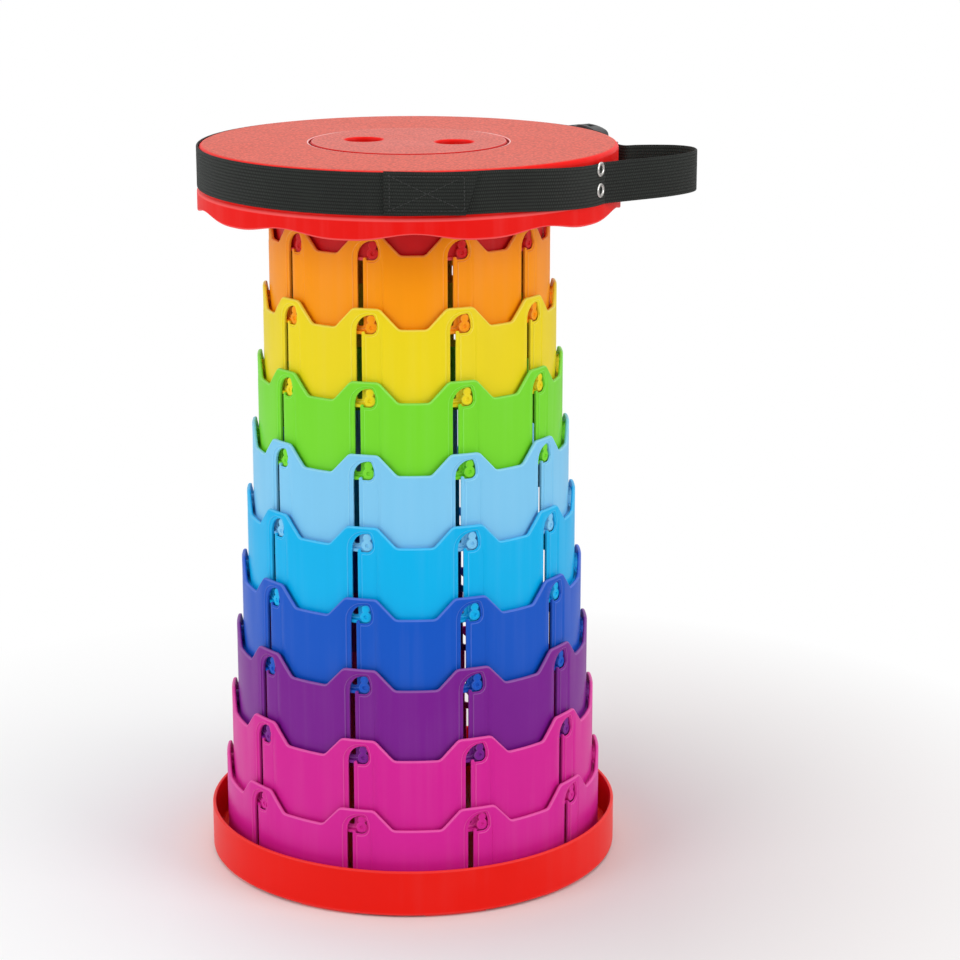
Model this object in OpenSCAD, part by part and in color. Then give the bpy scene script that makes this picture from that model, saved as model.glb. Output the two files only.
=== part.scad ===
// Telescopic camp stool, standing open.
// Nested plastic rings carry a round seat. Each ring has pins at its foot that sit
// in the hooked slots of the next larger ring. The largest ring stands in the base tray.
// Millimetres, +Z up, origin at the centre of the base's underside, front at -Y.

/* [Ring stack] */
// Outer radius of the largest ring, which stands in the base
ring_r = 118.9; // [110:0.1:130]
// Radial step from one ring to the next
ring_step = 4.14; // [3.8:0.02:4.6]
// Wall thickness of every ring
ring_wall = 2.2; // [2:0.1:2.4]
// Height of a ring from its foot to the crest of its arches
ring_h = 58.9; // [54:0.1:66]
// How far each ring rises out of the next when the stool is open
ring_lift = 42.9; // [38:0.1:44]
// Turn of the first panel's middle from the front
panel_turn = 1.15; // [-6:0.05:6]
// Height difference between neighbours' feet when the stool is closed
nest_gap = 0.3; // [0.2:0.1:0.5]

/* [Arches and slots] */
// Half the flat top of an arch, as an angle
arch_half = 5.25; // [4.5:0.05:6]
// Width of the slope from an arch's top to the trough
slope_w = 11.6; // [9:0.1:13]
// Depth of the trough below the arch's top
slope_h = 12.2; // [8:0.1:13]
// Rounding of an arch's corners
arch_corner = 5; // [1:0.5:6]
// Rounding of a trough's corners
trough_corner = 4; // [1:0.5:6]
// Width of the upright slot
slot_w = 4.2; // [3:0.1:5]
// Middle of the slot, left of the arch's middle
slot_off = 4.5; // [4.2:0.1:5]
// Solid band left under the slot
slot_foot = 4.5; // [3.5:0.1:7]
// Wall left between the crest and the top of the hooked slot
crest_wall = 3.9; // [3:0.1:5]
// Radius of the hook's outer bend
hook_r = 9.6; // [6:0.1:9.8]
// Height of the hump between slot and pocket, above the pocket's floor
hump_h = 1.5; // [1.5:0.1:3]
// How far the pocket's side leans in at its top
pocket_in = 1.7; // [1:0.1:2]
// Height of the pocket's upright side above its floor
pocket_side = 6.9; // [6:0.1:7.5]
// Depth of the sunk border round slot and pocket
border_d = 0.6; // [0.3:0.1:0.7]
// Width of the sunk border beside the slot
border_w = 2.4; // [1:0.1:3]

/* [Pins] */
// Radius of a pin
pin_r = 3.4; // [3:0.1:3.6]
// Radius of the small nub on top of a pin
nub_r = 2.5; // [2:0.1:2.6]
// Nub's middle above the pin's middle
nub_up = 4.9; // [4:0.1:5]
// Pin's middle above the ring's foot
pin_up = 4.4; // [4.2:0.1:4.8]
// Pin's middle, right of the arch's middle
pin_off = 2.95; // [2.8:0.05:3.2]
// How far a pin reaches into the next ring's wall
pin_bite = 0.8; // [0.5:0.1:0.9]
// Running clearance round pins, flanges and grooves
run_gap = 0.3; // [0.25:0.05:0.35]
// Height of the flange round a ring's foot
flange_h = 2; // [1.5:0.1:3]

/* [Seat] */
// Room between the wall of the largest ring and the outside of the seat's side wall
seat_room = 7.7; // [7:0.1:10]
// Thickness of the seat's top plate
seat_t = 3; // [2:0.1:4]
// Wall thickness of the seat's side
seat_wall = 2.2; // [1.6:0.1:2.6]
// Travel of the seat on the smallest loose ring
seat_drop = 39.6; // [34:0.1:41]
// Side wall left free above and below the webbing, together
side_free = 1.5; // [1.2:0.1:5]
// How far the hem stands out from the side wall
hem_out = 1.6; // [1:0.1:2]
// Rounding of the seat's upper edge
seat_edge = 3; // [1:0.5:4]
// Thickness of the ribs and collars under the plate
rib_t = 2; // [1.5:0.1:2.5]
// Depth of the ribs below the plate
rib_h = 6; // [4:0.5:8]
// Height of the lips that clip the end rings to seat and base
clip_h = 2; // [1.5:0.1:3]
// How far the smallest ring's lip reaches inwards
clip_out = 1.6; // [1:0.1:2]
// Rise of the hem's waves
wave_h = 4; // [2:0.1:5]
// Radius of the wave's curve
wave_r = 80; // [60:1:120]

/* [Centre cap] */
// Radius of the cap's round plate
cap_r = 59.6; // [50:0.1:64]
// Width of the groove round the cap
cap_groove = 0.8; // [0.5:0.1:1.5]
// Thickness of the cap's plate
cap_t = 1.5; // [1:0.1:2]
// Width of the plate outside the plug below it
cap_rim = 8; // [6:1:12]
// Height of the plug, with the plate
plug_h = 9; // [6:0.5:12]
// Radius of a finger hole
finger_r = 11.25; // [9:0.05:13]
// Distance between the finger holes
finger_gap = 56; // [45:0.5:64]
// Turn of the line through the finger holes
finger_turn = -12.7; // [-90:0.1:90]
// Depth of the finger holes
finger_d = 14; // [8:0.5:20]

/* [Base tray] */
// How far the rim stands out beyond the seat's hem
rim_out = 0.5; // [0:0.1:2]
// Height of the rim above the ground
base_h = 29.6; // [24:0.1:36]
// Wall thickness of the rim
base_wall = 2.05; // [1.6:0.05:2.4]
// Thickness of the tray's floor
floor_t = 4; // [2:0.1:5]
// Rounding of the tray's lower edge
base_edge = 1.5; // [1:0.1:1.6]
// Rounding of the rim's upper edge
rim_edge = 0.8; // [0.4:0.1:1]
// Height of the feet
foot_h = 1; // [0.8:0.1:3]
// Width of a foot, as an angle
foot_arc = 17; // [10:1:24]
// Radial width of a foot
foot_w = 16; // [10:1:20]
// Distance of the feet from the rim's outer face
foot_in = 2; // [1.75:0.25:2.5]
// Turn of the first foot from the front
foot_turn = 11.5; // [0:0.5:18]
// Radius of the pad in the middle of the underside
pad_r = 20; // [12:1:30]

/* [Webbing] */
// Width of the webbing
web_w = 24.5; // [20:0.5:25]
// Thickness of the webbing
web_t = 1.3; // [1:0.1:1.4]
// Gap from the webbing to the seat's wall
web_gap = 0.2; // [0.2:0.05:0.3]
// Where the belt leaves the wall at the front, as an angle from the front
loop_front = 62; // [50:1:66]
// Where the belt comes back to the wall, as an angle from the front
loop_rear = 98; // [96:1:104]
// Where the belt starts to come down towards the loop, as an angle from the front
fall_from = 20; // [10:1:30]
// How far the belt's ends lie lower than the rest
web_drop = 4; // [0:0.5:5]
// Where the sewn overlap starts, as an angle from the front
lap_from = -9; // [-14:1:-4]
// Where the sewn overlap ends, as an angle from the front
lap_to = 21; // [16:1:26]
// How far the overlap's end hangs lower than its start
lap_skew = 1.2; // [0:0.1:1.5]
// Gap between the two layers of the overlap
lap_gap = 0.1; // [0.05:0.05:0.2]
// How far the carry loop stands out from the belt
loop_out = 43.1; // [36:0.1:60]
// Outer radius of an eyelet
eyelet_r = 4.4; // [3.5:0.1:5]
// Radius of an eyelet's hole
eyelet_bore = 2.2; // [1.5:0.1:2.6]
// Thickness of an eyelet
eyelet_t = 0.9; // [0.6:0.1:1.2]
// Distance between the two eyelets of a pair
eyelet_gap = 10.7; // [9.5:0.1:12]
// How far the pair sits above the middle of the webbing
eyelet_up = 1.5; // [0:0.1:1.5]
// Angle from an eyelet to the belt's end
eyelet_in = 2; // [1.5:0.5:3]

/* [Buckle] */
// Middle of the buckle, as an angle from the front
buckle_at = 123; // [120:1:180]
// Length of the closed buckle
buckle_l = 40; // [36:1:50]
// Height of the buckle
buckle_w = 32; // [31:0.5:34]
// Thickness of the buckle
buckle_t = 8; // [6.5:0.5:10]
// Length of the buckle's socket half
socket_l = 23.5; // [20:0.5:26]
// Wall thickness of the buckle
buckle_wall = 2; // [1.5:0.1:2]
// Length of the socket's side windows
window_l = 7; // [5:0.5:9]
// Width of the bar that the webbing goes round, and of the slot beside it
buckle_bar = 3; // [2:0.5:3]

/* [Hidden] */
$fn = 96;

rings = 10;
panels = 10;
pitch = 360 / panels;
cut = 3;                 // how far a cutter reaches past the face that it cuts
sink = 0.5;              // how far a shape runs into the shape it is fused with
corner_steps = 3;        // straight pieces in a rounded corner

RED = [0.91, 0.13, 0.10];
BLACK = [0.13, 0.13, 0.13];
STEEL = [0.75, 0.76, 0.77];
RING_COLOURS = [RED, [0.96, 0.56, 0.06], [0.95, 0.85, 0.10], [0.45, 0.84, 0.16],
    [0.52, 0.80, 0.95], [0.02, 0.68, 0.92], [0.08, 0.36, 0.80], [0.47, 0.15, 0.55],
    [0.84, 0.16, 0.58], [0.84, 0.16, 0.58]];

floor_z = foot_h + floor_t;
ring_gap = ring_step - ring_wall;
flange = ring_gap - run_gap;
overlap = ring_h - ring_lift;
pin_end = ring_gap + pin_bite;
pocket_floor = overlap - pin_up + pin_r + run_gap;
pocket_top = crest_wall;

// Radii and heights of ring k, counted from the seat
function outer(k) = ring_r - (rings - k) * ring_step;
function inner(k) = outer(k) - ring_wall;
function foot_z(k) = floor_z + (rings - k) * ring_lift;
function crest_z(k) = foot_z(k) + ring_h;

plate_z = crest_z(2) + seat_drop + nest_gap;
top_z = plate_z + seat_t;
side_h = web_w + side_free;    // the upper side wall, where the belt lies
side_z = top_z - side_h;
// When the stool is closed the seat's hem ends just above the rim
hem_z = side_z - (floor_z + (rings - 2) * nest_gap + ring_h + seat_t - side_h - base_h);
seat_r = ring_r + seat_room;
hem_r = seat_r + hem_out;
base_r = hem_r + rim_out;

// A corner of a rounded outline: b lies between a and c
function unit(v) = v / norm(v);
function fillet(a, b, c, r) =
    let (u = unit(a - b), v = unit(c - b), half = acos(u * v) / 2,
        m = b + unit(u + v) * r / sin(half),
        p = b + u * r / tan(half) - m, q = b + v * r / tan(half) - m,
        start = atan2(p.y, p.x), turn = atan2(q.y, q.x) - start,
        sweep = turn > 180 ? turn - 360 : turn < -180 ? turn + 360 : turn)
    [for (i = [0:corner_steps]) let (t = start + sweep * i / corner_steps) m + r * [cos(t), sin(t)]];
// An outline from points [x, y, corner radius]
function rounded(pts) = let (n = len(pts)) [for (i = [0:n - 1])
    let (a = pts[(i + n - 1) % n], b = pts[i], c = pts[(i + 1) % n])
    each b.z > 0 ? fillet([a.x, a.y], [b.x, b.y], [c.x, c.y], b.z) : [[b.x, b.y]]];

// Puts an upright outline on a radial line: drawn x is sideways and drawn y is height
module radial(turn, r0, r1) {
    rotate([0, 0, turn]) translate([0, -r0, 0]) rotate([90, 0, 0]) linear_extrude(r1 - r0) children();
}
module each_panel(turn) {
    for (i = [0:panels - 1]) rotate([0, 0, turn + i * pitch]) children();
}
module tube(r0, r1, z0, z1) {
    rotate_extrude() translate([r0, z0]) square([r1 - r0, z1 - z0]);
}

// ---- rings ----

// The trough between two arches, cut from above; its mouth widens above the crest
function trough_outline(r) =
    let (x_top = r * sin(pitch / 2 - arch_half), x_low = x_top - slope_w,
        x_brow = x_top + 0.6 * arch_corner, x_mouth = x_top + 4 * cut)
    rounded([[-x_mouth, cut, 0], [-x_brow, brow, 0], [-x_top, 0, arch_corner],
        [-x_low, -slope_h, trough_corner], [x_low, -slope_h, trough_corner],
        [x_top, 0, arch_corner], [x_brow, brow, 0], [x_mouth, cut, 0]]);

// The hooked slot below one arch, with the crest at height 0
slot_x0 = -slot_off - slot_w / 2;
slot_x1 = -slot_off + slot_w / 2;
pocket_x0 = pin_off - pin_r - run_gap;
pocket_x1 = pin_off + pin_r + run_gap;
hump_y = -pocket_floor + hump_h;
shoulder_y = -pocket_floor + pocket_side;
slot_y = slot_foot - ring_h;
groove_in = 0.05;        // how far a pin groove's sides lie inside the pocket's sides
brow = 0.02;             // how far the trough's cutter clears the flat top of an arch
function hook_outline() = let (tip = (pocket_x0 - slot_x1) / 2 - 0.05)
    rounded([[slot_x0, slot_y, slot_w / 4], [slot_x0, -pocket_top, hook_r],
        [pocket_x1 - pocket_in, -pocket_top, nub_r - 1], [pocket_x1, shoulder_y, pin_r],
        [pocket_x1, -pocket_floor, pin_r + run_gap - 0.05],
        [pocket_x0, -pocket_floor, hump_h / 2 - 0.1], [pocket_x0, hump_y, tip], [slot_x1, hump_y, tip],
        [slot_x1, slot_y, slot_w / 4]]);
// The sunk border, wide beside the slot and narrow round the pocket
function border_outline() = let (narrow = border_w / 2, x0 = slot_x0 - border_w, x1 = pocket_x1 + narrow)
    rounded([[x0, slot_y - narrow, border_w], [x0, narrow - pocket_top, hook_r + narrow],
        [x1 - pocket_in, narrow - pocket_top, nub_r], [x1, shoulder_y, pin_r + narrow],
        [x1, -pocket_floor - narrow, pin_r + narrow],
        [slot_x1 + border_w, -pocket_floor - narrow, 0], [slot_x1 + border_w, slot_y - narrow, border_w]]);

module pin(k) {
    difference() {
        radial(0, outer(k) - ring_wall / 2, outer(k) + pin_end) translate([pin_off, foot_z(k) + pin_up]) {
            circle(pin_r);
            translate([0, nub_up]) circle(nub_r);
            translate([-nub_r / 2, 0]) square([nub_r, nub_up]);
        }
        radial(0, outer(k) + pin_end - 1, outer(k) + pin_end + cut)
            translate([pin_off, foot_z(k) + pin_up]) circle(pin_r / 3);
    }
}

// The wall of ring k with its arches, hooked slots and pin grooves
module ring_shell(k) {
    r = outer(k);
    difference() {
        union() {
            tube(inner(k), r, foot_z(k), crest_z(k));
            tube(r - sink, r + flange, foot_z(k), foot_z(k) + flange_h);
        }
        each_panel(panel_turn) radial(0, 0.9 * inner(k), r + cut)
            translate([0, crest_z(k)]) polygon(trough_outline(r));
        each_panel(panel_turn + pitch / 2) radial(0, inner(k) - cut, r + cut)
            translate([0, crest_z(k)]) polygon(hook_outline());
        // Grooves for the next ring's pins, up past the rounding of the pockets' floors
        each_panel(panel_turn + pitch / 2) radial(0, inner(k) - cut, inner(k) + pin_bite + run_gap)
            translate([pocket_x0 + groove_in, foot_z(k) - cut])
            square([pocket_x1 - pocket_x0 - 2 * groove_in, ring_h - pocket_floor + pin_r + run_gap + cut]);
        difference() {
            each_panel(panel_turn + pitch / 2) radial(0, r - cut, r + cut)
                translate([0, crest_z(k)]) polygon(border_outline());
            cylinder(h = crest_z(k) + cut, r = r - border_d);
        }
    }
}
module ring_pins(k) {
    each_panel(panel_turn + pitch / 2) pin(k);
}
module ring(k) {
    color(RING_COLOURS[k - 1]) union() {
        ring_shell(k);
        if (k < rings) ring_pins(k);
    }
}

// The smallest ring hangs from the seat by an inward flange that snaps over the seat's collar
module seat_ring() {
    color(RING_COLOURS[0]) union() {
        tube(inner(1), outer(1), foot_z(1), plate_z);
        tube(outer(1) - sink, outer(1) + flange, foot_z(1), foot_z(1) + flange_h);
        tube(inner(1) - clip_out, inner(1) + sink, plate_z - clip_h, plate_z);
        ring_pins(1);
    }
}

// ---- base ----

module base_tray() {
    collar_r = outer(rings) + flange + run_gap;
    collar_h = flange_h + run_gap + clip_h;
    color(RED) union() {
        rotate_extrude() difference() {
            union() {
                translate([0, foot_h]) square([base_r - base_edge, base_h - foot_h - rim_edge]);
                translate([0, foot_h + base_edge]) square([base_r, base_h - foot_h - base_edge - rim_edge]);
                translate([base_r - base_edge, foot_h + base_edge]) circle(base_edge);
                translate([base_r - base_wall, base_h - rim_edge - 1])
                    square([base_wall - rim_edge, rim_edge + 1]);
                translate([base_r - rim_edge, base_h - rim_edge]) circle(rim_edge);
            }
            translate([-1, floor_z]) square([base_r - base_wall + 1, base_h]);
        }
        // Collar whose lip snaps over the flange of the largest ring
        tube(collar_r, collar_r + rib_t, floor_z - sink, floor_z + collar_h);
        tube(outer(rings) + run_gap, collar_r + sink, floor_z + collar_h - clip_h, floor_z + collar_h);
        // Feet, and a round pad in the middle of the underside
        for (i = [0:panels - 1]) rotate([0, 0, foot_turn + i * pitch - foot_arc / 2 - 90])
            rotate_extrude(angle = foot_arc) translate([base_r - foot_in - foot_w, 0])
                square([foot_w, foot_h + sink]);
        cylinder(h = foot_h + sink, r = pad_r);
    }
}

// ---- seat ----

plug_r = cap_r - cap_rim;
well_r = plug_r + run_gap;
module seat_top() {
    collar_r = inner(1) - clip_out - run_gap;
    clip_z = plate_z - clip_h - run_gap;
    color(RED) difference() {
        union() {
            rotate_extrude() difference() {
                union() {
                    square([seat_r - seat_edge, top_z]);
                    square([seat_r, top_z - seat_edge]);
                    translate([seat_r - seat_edge, top_z - seat_edge]) circle(seat_edge);
                    polygon([[0, 0], [hem_r, 0], [hem_r, side_z - hem_out], [seat_r, side_z], [0, side_z]]);
                }
                translate([-1, -1]) square([seat_r * 2, hem_z + 1]);
                polygon([[-1, -1], [hem_r - seat_wall, -1], [hem_r - seat_wall, side_z - hem_out - 1],
                    [seat_r - seat_wall, side_z - 1], [seat_r - seat_wall, plate_z], [-1, plate_z]]);
            }
            // Collar and lip that hold the smallest ring
            tube(collar_r - rib_t, collar_r, clip_z - clip_h, plate_z + sink);
            tube(collar_r - sink, inner(1) - run_gap, clip_z - clip_h, clip_z);
            // Wall of the cap's well, and ribs from it to the collar
            tube(well_r, well_r + rib_t, plate_z - rib_h - rib_t, plate_z + sink);
            each_panel(panel_turn) translate([-rib_t / 2, sink - collar_r, plate_z - rib_h])
                cube([rib_t, collar_r - well_r - 2 * sink, rib_h + sink]);
        }
        translate([0, 0, top_z - cap_t]) cylinder(h = cap_t + cut, r = cap_r + cap_groove);
        translate([0, 0, hem_z]) cylinder(h = top_z - hem_z, r = well_r);
        each_panel(panel_turn) radial(0, 0.9 * seat_r, hem_r + cut)
            translate([0, hem_z + wave_h - wave_r]) circle(wave_r, $fn = 180);
    }
}

module finger_wells(r, z0, z1) {
    rotate([0, 0, finger_turn]) for (s = [-1, 1])
        translate([s * finger_gap / 2, 0, z0]) cylinder(h = z1 - z0, r = r);
}
module centre_cap() {
    color(RED) difference() {
        union() {
            translate([0, 0, top_z - cap_t]) cylinder(h = cap_t, r = cap_r);
            tube(plug_r - rib_t, plug_r, top_z - plug_h, top_z - cap_t + sink);
            finger_wells(finger_r + rib_t, top_z - finger_d, top_z - sink);
        }
        finger_wells(finger_r, top_z - finger_d - cut, top_z + cut);
    }
}

// ---- webbing ----

// A strip of webbing on edge along a path of [x, y, top edge], as one closed skin
module ribbon(path) {
    n = len(path);
    function side(i) = let (a = path[max(i - 1, 0)], b = path[min(i + 1, n - 1)],
        d = unit([b.x - a.x, b.y - a.y])) [-d.y, d.x, 0] * web_t / 2;
    pts = [for (i = [0:n - 1]) let (p = path[i], s = side(i), low = [0, 0, -web_w])
        each [p + s, p - s, p - s + low, p + s + low]];
    polyhedron(points = pts, convexity = 8, faces = concat([[0, 1, 2, 3]],
        [for (i = [0:n - 2], j = [0:3])
            [4 * i + j, 4 * i + 4 + j, 4 * i + 4 + (j + 1) % 4, 4 * i + (j + 1) % 4]],
        [[4 * n - 1, 4 * n - 2, 4 * n - 3, 4 * n - 4]]));
}
function smooth(t) = let (u = min(max(t, 0), 1)) u * u * (3 - 2 * u);
function polar(r, turn, z) = [r * sin(turn), -r * cos(turn), z];

web_r = seat_r + web_gap + web_t / 2;
web_top = top_z - 0.6;
belt_start = loop_rear - 360;
rise = 12;               // the angle over which the belt climbs again behind the loop
// How far the belt has come down and out at an angle, from 0 to 1
function fall(turn) = max(smooth((turn - fall_from) / (loop_front - eyelet_in - fall_from)),
    smooth((belt_start + eyelet_in + rise - turn) / rise));
function belt_point(turn) = let (f = fall(turn))
    polar(web_r + hem_out * min(1, 2 * f), turn, web_top - web_drop * f);

module belt() {
    steps = 88;
    color(BLACK) ribbon([for (i = [0:steps]) belt_point(belt_start + (loop_front - belt_start) * i / steps)]);
}
// The sewn end lies over the belt at the front, a little askew
module belt_overlap() {
    steps = 10;
    color(BLACK) ribbon([for (i = [0:steps]) let (t = i / steps, turn = lap_from + (lap_to - lap_from) * t)
        polar(web_r + web_t + lap_gap, turn, web_top - lap_gap - lap_skew * t)]);
}

// The loop's route from the front of its gap to the rear: [turn, share of loop_out]
LOOP = [[66.4, 0.16], [71.4, 0.36], [76.3, 0.6], [80.8, 0.81], [84.9, 0.96], [88.7, 1], [92.1, 0.95],
    [94.5, 0.78], [95.6, 0.52], [95.8, 0.28], [95.3, 0.11]];
// A smooth curve through the points p, at t from 0 to 1 between points i and i + 1
function curve(p, i, t) = let (a = p[max(i - 1, 0)], b = p[i], c = p[i + 1], d = p[min(i + 2, len(p) - 1)])
    0.5 * (2 * b + (c - a) * t + (2 * a - 5 * b + 4 * c - d) * t * t + (3 * b - a - 3 * c + d) * t * t * t);
loop_top = web_top - web_drop;
loop_start = belt_point(loop_front);
loop_stop = belt_point(belt_start);
module carry_loop() {
    route = concat([loop_start], [for (p = LOOP) polar(web_r + loop_out * p.y, p.x, loop_top)], [loop_stop]);
    color(BLACK) ribbon([for (i = [0:len(route) - 2], t = [0, 0.25, 0.5, 0.75]) curve(route, i, t)]);
}

// A pair of eyelets, one above the other, through the webbing at a foot of the loop
module eyelets(turn) {
    p = belt_point(turn);
    r = norm([p.x, p.y]);
    middle = p.z - web_w / 2 + eyelet_up;
    color(STEEL) for (z = [middle - eyelet_gap / 2, middle + eyelet_gap / 2]) difference() {
        radial(turn, r + web_t / 2, r + web_t / 2 + eyelet_t) translate([0, z]) circle(eyelet_r);
        radial(turn, r - cut, r + cut) translate([0, z]) circle(eyelet_bore);
    }
}
module front_eyelets() eyelets(loop_front - eyelet_in);
module rear_eyelets() eyelets(belt_start + eyelet_in);

// ---- buckle ----

buckle_z = web_top - web_w / 2;
buckle_r = seat_r + web_gap + web_t + web_gap;
buckle_corner = 3;
hollow_w = buckle_w - 4 * buckle_wall;
hollow_r0 = buckle_r + buckle_wall;
hollow_r1 = buckle_r + buckle_t - buckle_wall;
module buckle_plate(x0, x1, w, corner, r0, r1) {
    y = w / 2;
    radial(buckle_at, r0, r1) translate([0, buckle_z])
        polygon(rounded([[x0, -y, corner], [x0, y, corner], [x1, y, corner], [x1, -y, corner]]));
}
module buckle_slot(x) {
    buckle_plate(x, x + buckle_bar, buckle_w - 2 * buckle_bar, buckle_bar / 4,
        buckle_r - cut, buckle_r + buckle_t + cut);
}
module buckle_socket() {
    x0 = -buckle_l / 2;
    mouth = x0 + 2 * buckle_bar + buckle_wall;
    color(BLACK) difference() {
        buckle_plate(x0, x0 + socket_l, buckle_w, buckle_corner, buckle_r, buckle_r + buckle_t);
        // Hollow for the plug, side windows for its prongs, and the slot for the webbing
        buckle_plate(mouth, x0 + socket_l + cut, hollow_w, 1, hollow_r0, hollow_r1);
        buckle_plate(mouth + buckle_bar, mouth + buckle_bar + window_l, buckle_w + 2 * cut, 1,
            hollow_r0, hollow_r1);
        buckle_slot(x0 + buckle_bar);
    }
}
module buckle_plug() {
    x0 = -buckle_l / 2 + socket_l + run_gap;
    x1 = buckle_l / 2;
    tip = 3 * buckle_bar + 2 * buckle_wall - buckle_l / 2;
    prong_w = 3.5;
    prong_y = hollow_w / 2 - 2 * run_gap;
    color(BLACK) difference() {
        union() {
            buckle_plate(x0, x1, buckle_w - buckle_wall, buckle_corner, buckle_r, buckle_r + buckle_t - 1);
            for (s = [-1, 1]) radial(buckle_at, hollow_r0 + run_gap, hollow_r1 - run_gap)
                translate([0, buckle_z]) polygon([[tip + 1, s * (prong_y - prong_w)],
                    [x0 + 2, s * (prong_y - prong_w - 1)], [x0 + 2, s * prong_y], [tip, s * prong_y]]);
        }
        buckle_slot(x1 - 2 * buckle_bar);
    }
}

base_tray();
ring(10);  // ring_10
ring(9);  // ring_09
ring(8);  // ring_08
ring(7);  // ring_07
ring(6);  // ring_06
ring(5);  // ring_05
ring(4);  // ring_04
ring(3);  // ring_03
ring(2);  // ring_02
seat_ring();  // ring_01
seat_top();
centre_cap();
belt();
belt_overlap();
carry_loop();
front_eyelets();
rear_eyelets();
buckle_socket();
buckle_plug();
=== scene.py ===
# %% [markdown]
# # Telescopic camp stool
# Ten nested plastic rings lift a round seat out of a tray-shaped base. This lesson dresses
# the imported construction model: the rings, seat and base get rounded, moulded meshes and
# satin plastic, and the carry strap becomes woven webbing with stitches and eyelets.
# Everything below is in millimetres until a mesh is made, where MM turns it into metres.

# %% Load the frame
import math

import bmesh
import bpy
import numpy as np
from mathutils import Matrix, Vector
from mathutils.geometry import delaunay_2d_cdt


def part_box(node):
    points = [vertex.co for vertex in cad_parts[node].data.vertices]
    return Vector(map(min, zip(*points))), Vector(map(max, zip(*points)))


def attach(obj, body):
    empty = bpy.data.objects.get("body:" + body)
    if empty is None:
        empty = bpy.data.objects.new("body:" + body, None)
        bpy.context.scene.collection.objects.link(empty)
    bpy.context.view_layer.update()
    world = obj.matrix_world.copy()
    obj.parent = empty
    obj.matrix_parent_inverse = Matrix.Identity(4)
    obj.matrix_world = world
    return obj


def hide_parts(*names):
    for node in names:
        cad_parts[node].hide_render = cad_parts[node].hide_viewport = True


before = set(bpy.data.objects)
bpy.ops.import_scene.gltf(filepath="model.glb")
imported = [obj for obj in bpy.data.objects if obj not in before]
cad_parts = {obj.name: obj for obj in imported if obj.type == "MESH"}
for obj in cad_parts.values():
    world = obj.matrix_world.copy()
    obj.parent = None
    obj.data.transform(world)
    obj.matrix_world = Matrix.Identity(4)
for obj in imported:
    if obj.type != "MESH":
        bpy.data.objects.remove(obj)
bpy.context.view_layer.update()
MM = 0.001

# %% [markdown]
# ## Sizes
# The stool follows a few driving sizes. Heights come from the frame's own boxes; radii and
# walls are the construction's values, because a ring's box includes its pins.

# %% Driving sizes
RINGS = 10
PANELS = 10
PITCH = 360 / PANELS  # angle of one panel
PANEL_TURN = 1.15  # turn of a panel's middle from the front
RING_R = 118.9  # outer radius of the largest ring
RING_STEP = 4.14
RING_WALL = 2.2
RUN_GAP = 0.3
FLANGE = RING_STEP - RING_WALL - RUN_GAP
FLANGE_H = 2.0


def span_z(node):
    """Lowest and highest point of a CAD node, in millimetres."""
    low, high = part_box(node)
    return low.z / MM, high.z / MM


def ring_radius(k):
    return RING_R - (RINGS - k) * RING_STEP


def ring_node(k):
    return f"ring_{k:02d}"


RING_FOOT, RING_CREST = span_z(ring_node(RINGS))
RING_H = RING_CREST - RING_FOOT
SEAT_LOW, SEAT_TOP = span_z("seat_top")
STEP = math.radians(PITCH)
print(f"ring height {RING_H:.1f} mm, seat top {SEAT_TOP:.1f} mm")

# %% [markdown]
# ## Camera
# A long lens from a little above seat height, aimed slightly to the right of the stool,
# shows the shallow ellipse of the seat and nearly upright walls.

# %% Camera
LENS = 98.45  # mm, on a sensor 36 mm wide
LOOKS_DOWN = 14.9
LOOKS_RIGHT = 1.552
scene = bpy.context.scene
camera = bpy.data.objects.new("camera", bpy.data.cameras.new("camera"))
scene.collection.objects.link(camera)
camera.data.lens = LENS
camera.data.sensor_width = 36
camera.data.clip_end = 50
camera.location = (0, -1.586, 0.660)
camera.rotation_euler = (math.radians(90 - LOOKS_DOWN), 0, math.radians(-LOOKS_RIGHT))
scene.camera = camera
print("camera lens", round(camera.data.lens, 1), "mm")

# %% [markdown]
# ## Shader arithmetic
# Every finish below mixes patterns by sums and products. Adding each Math node by hand hides
# the formula, so one small class wraps a socket and turns Python arithmetic into nodes, and
# a second class adds any other node from its type, its settings and its sockets.

# %% Shader expressions
class Expr:
    """A number that varies over a surface. Arithmetic on it adds Math nodes."""

    def __init__(self, shader, socket):
        self.shader = shader
        self.socket = socket

    def math(self, operation, *values):
        return self.shader.node("ShaderNodeMath", {"operation": operation}, dict(enumerate(values)))

    def __add__(self, other):
        return self.math("ADD", self, other)

    def __sub__(self, other):
        return self.math("SUBTRACT", self, other)

    def __rsub__(self, other):
        return self.math("SUBTRACT", other, self)

    def __mul__(self, other):
        return self.math("MULTIPLY", self, other)

    def __truediv__(self, other):
        return self.math("DIVIDE", self, other)

    __radd__ = __add__
    __rmul__ = __mul__

    def clamped(self):
        return self.math("MINIMUM", self.math("MAXIMUM", self, 0.0), 1.0)


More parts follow.
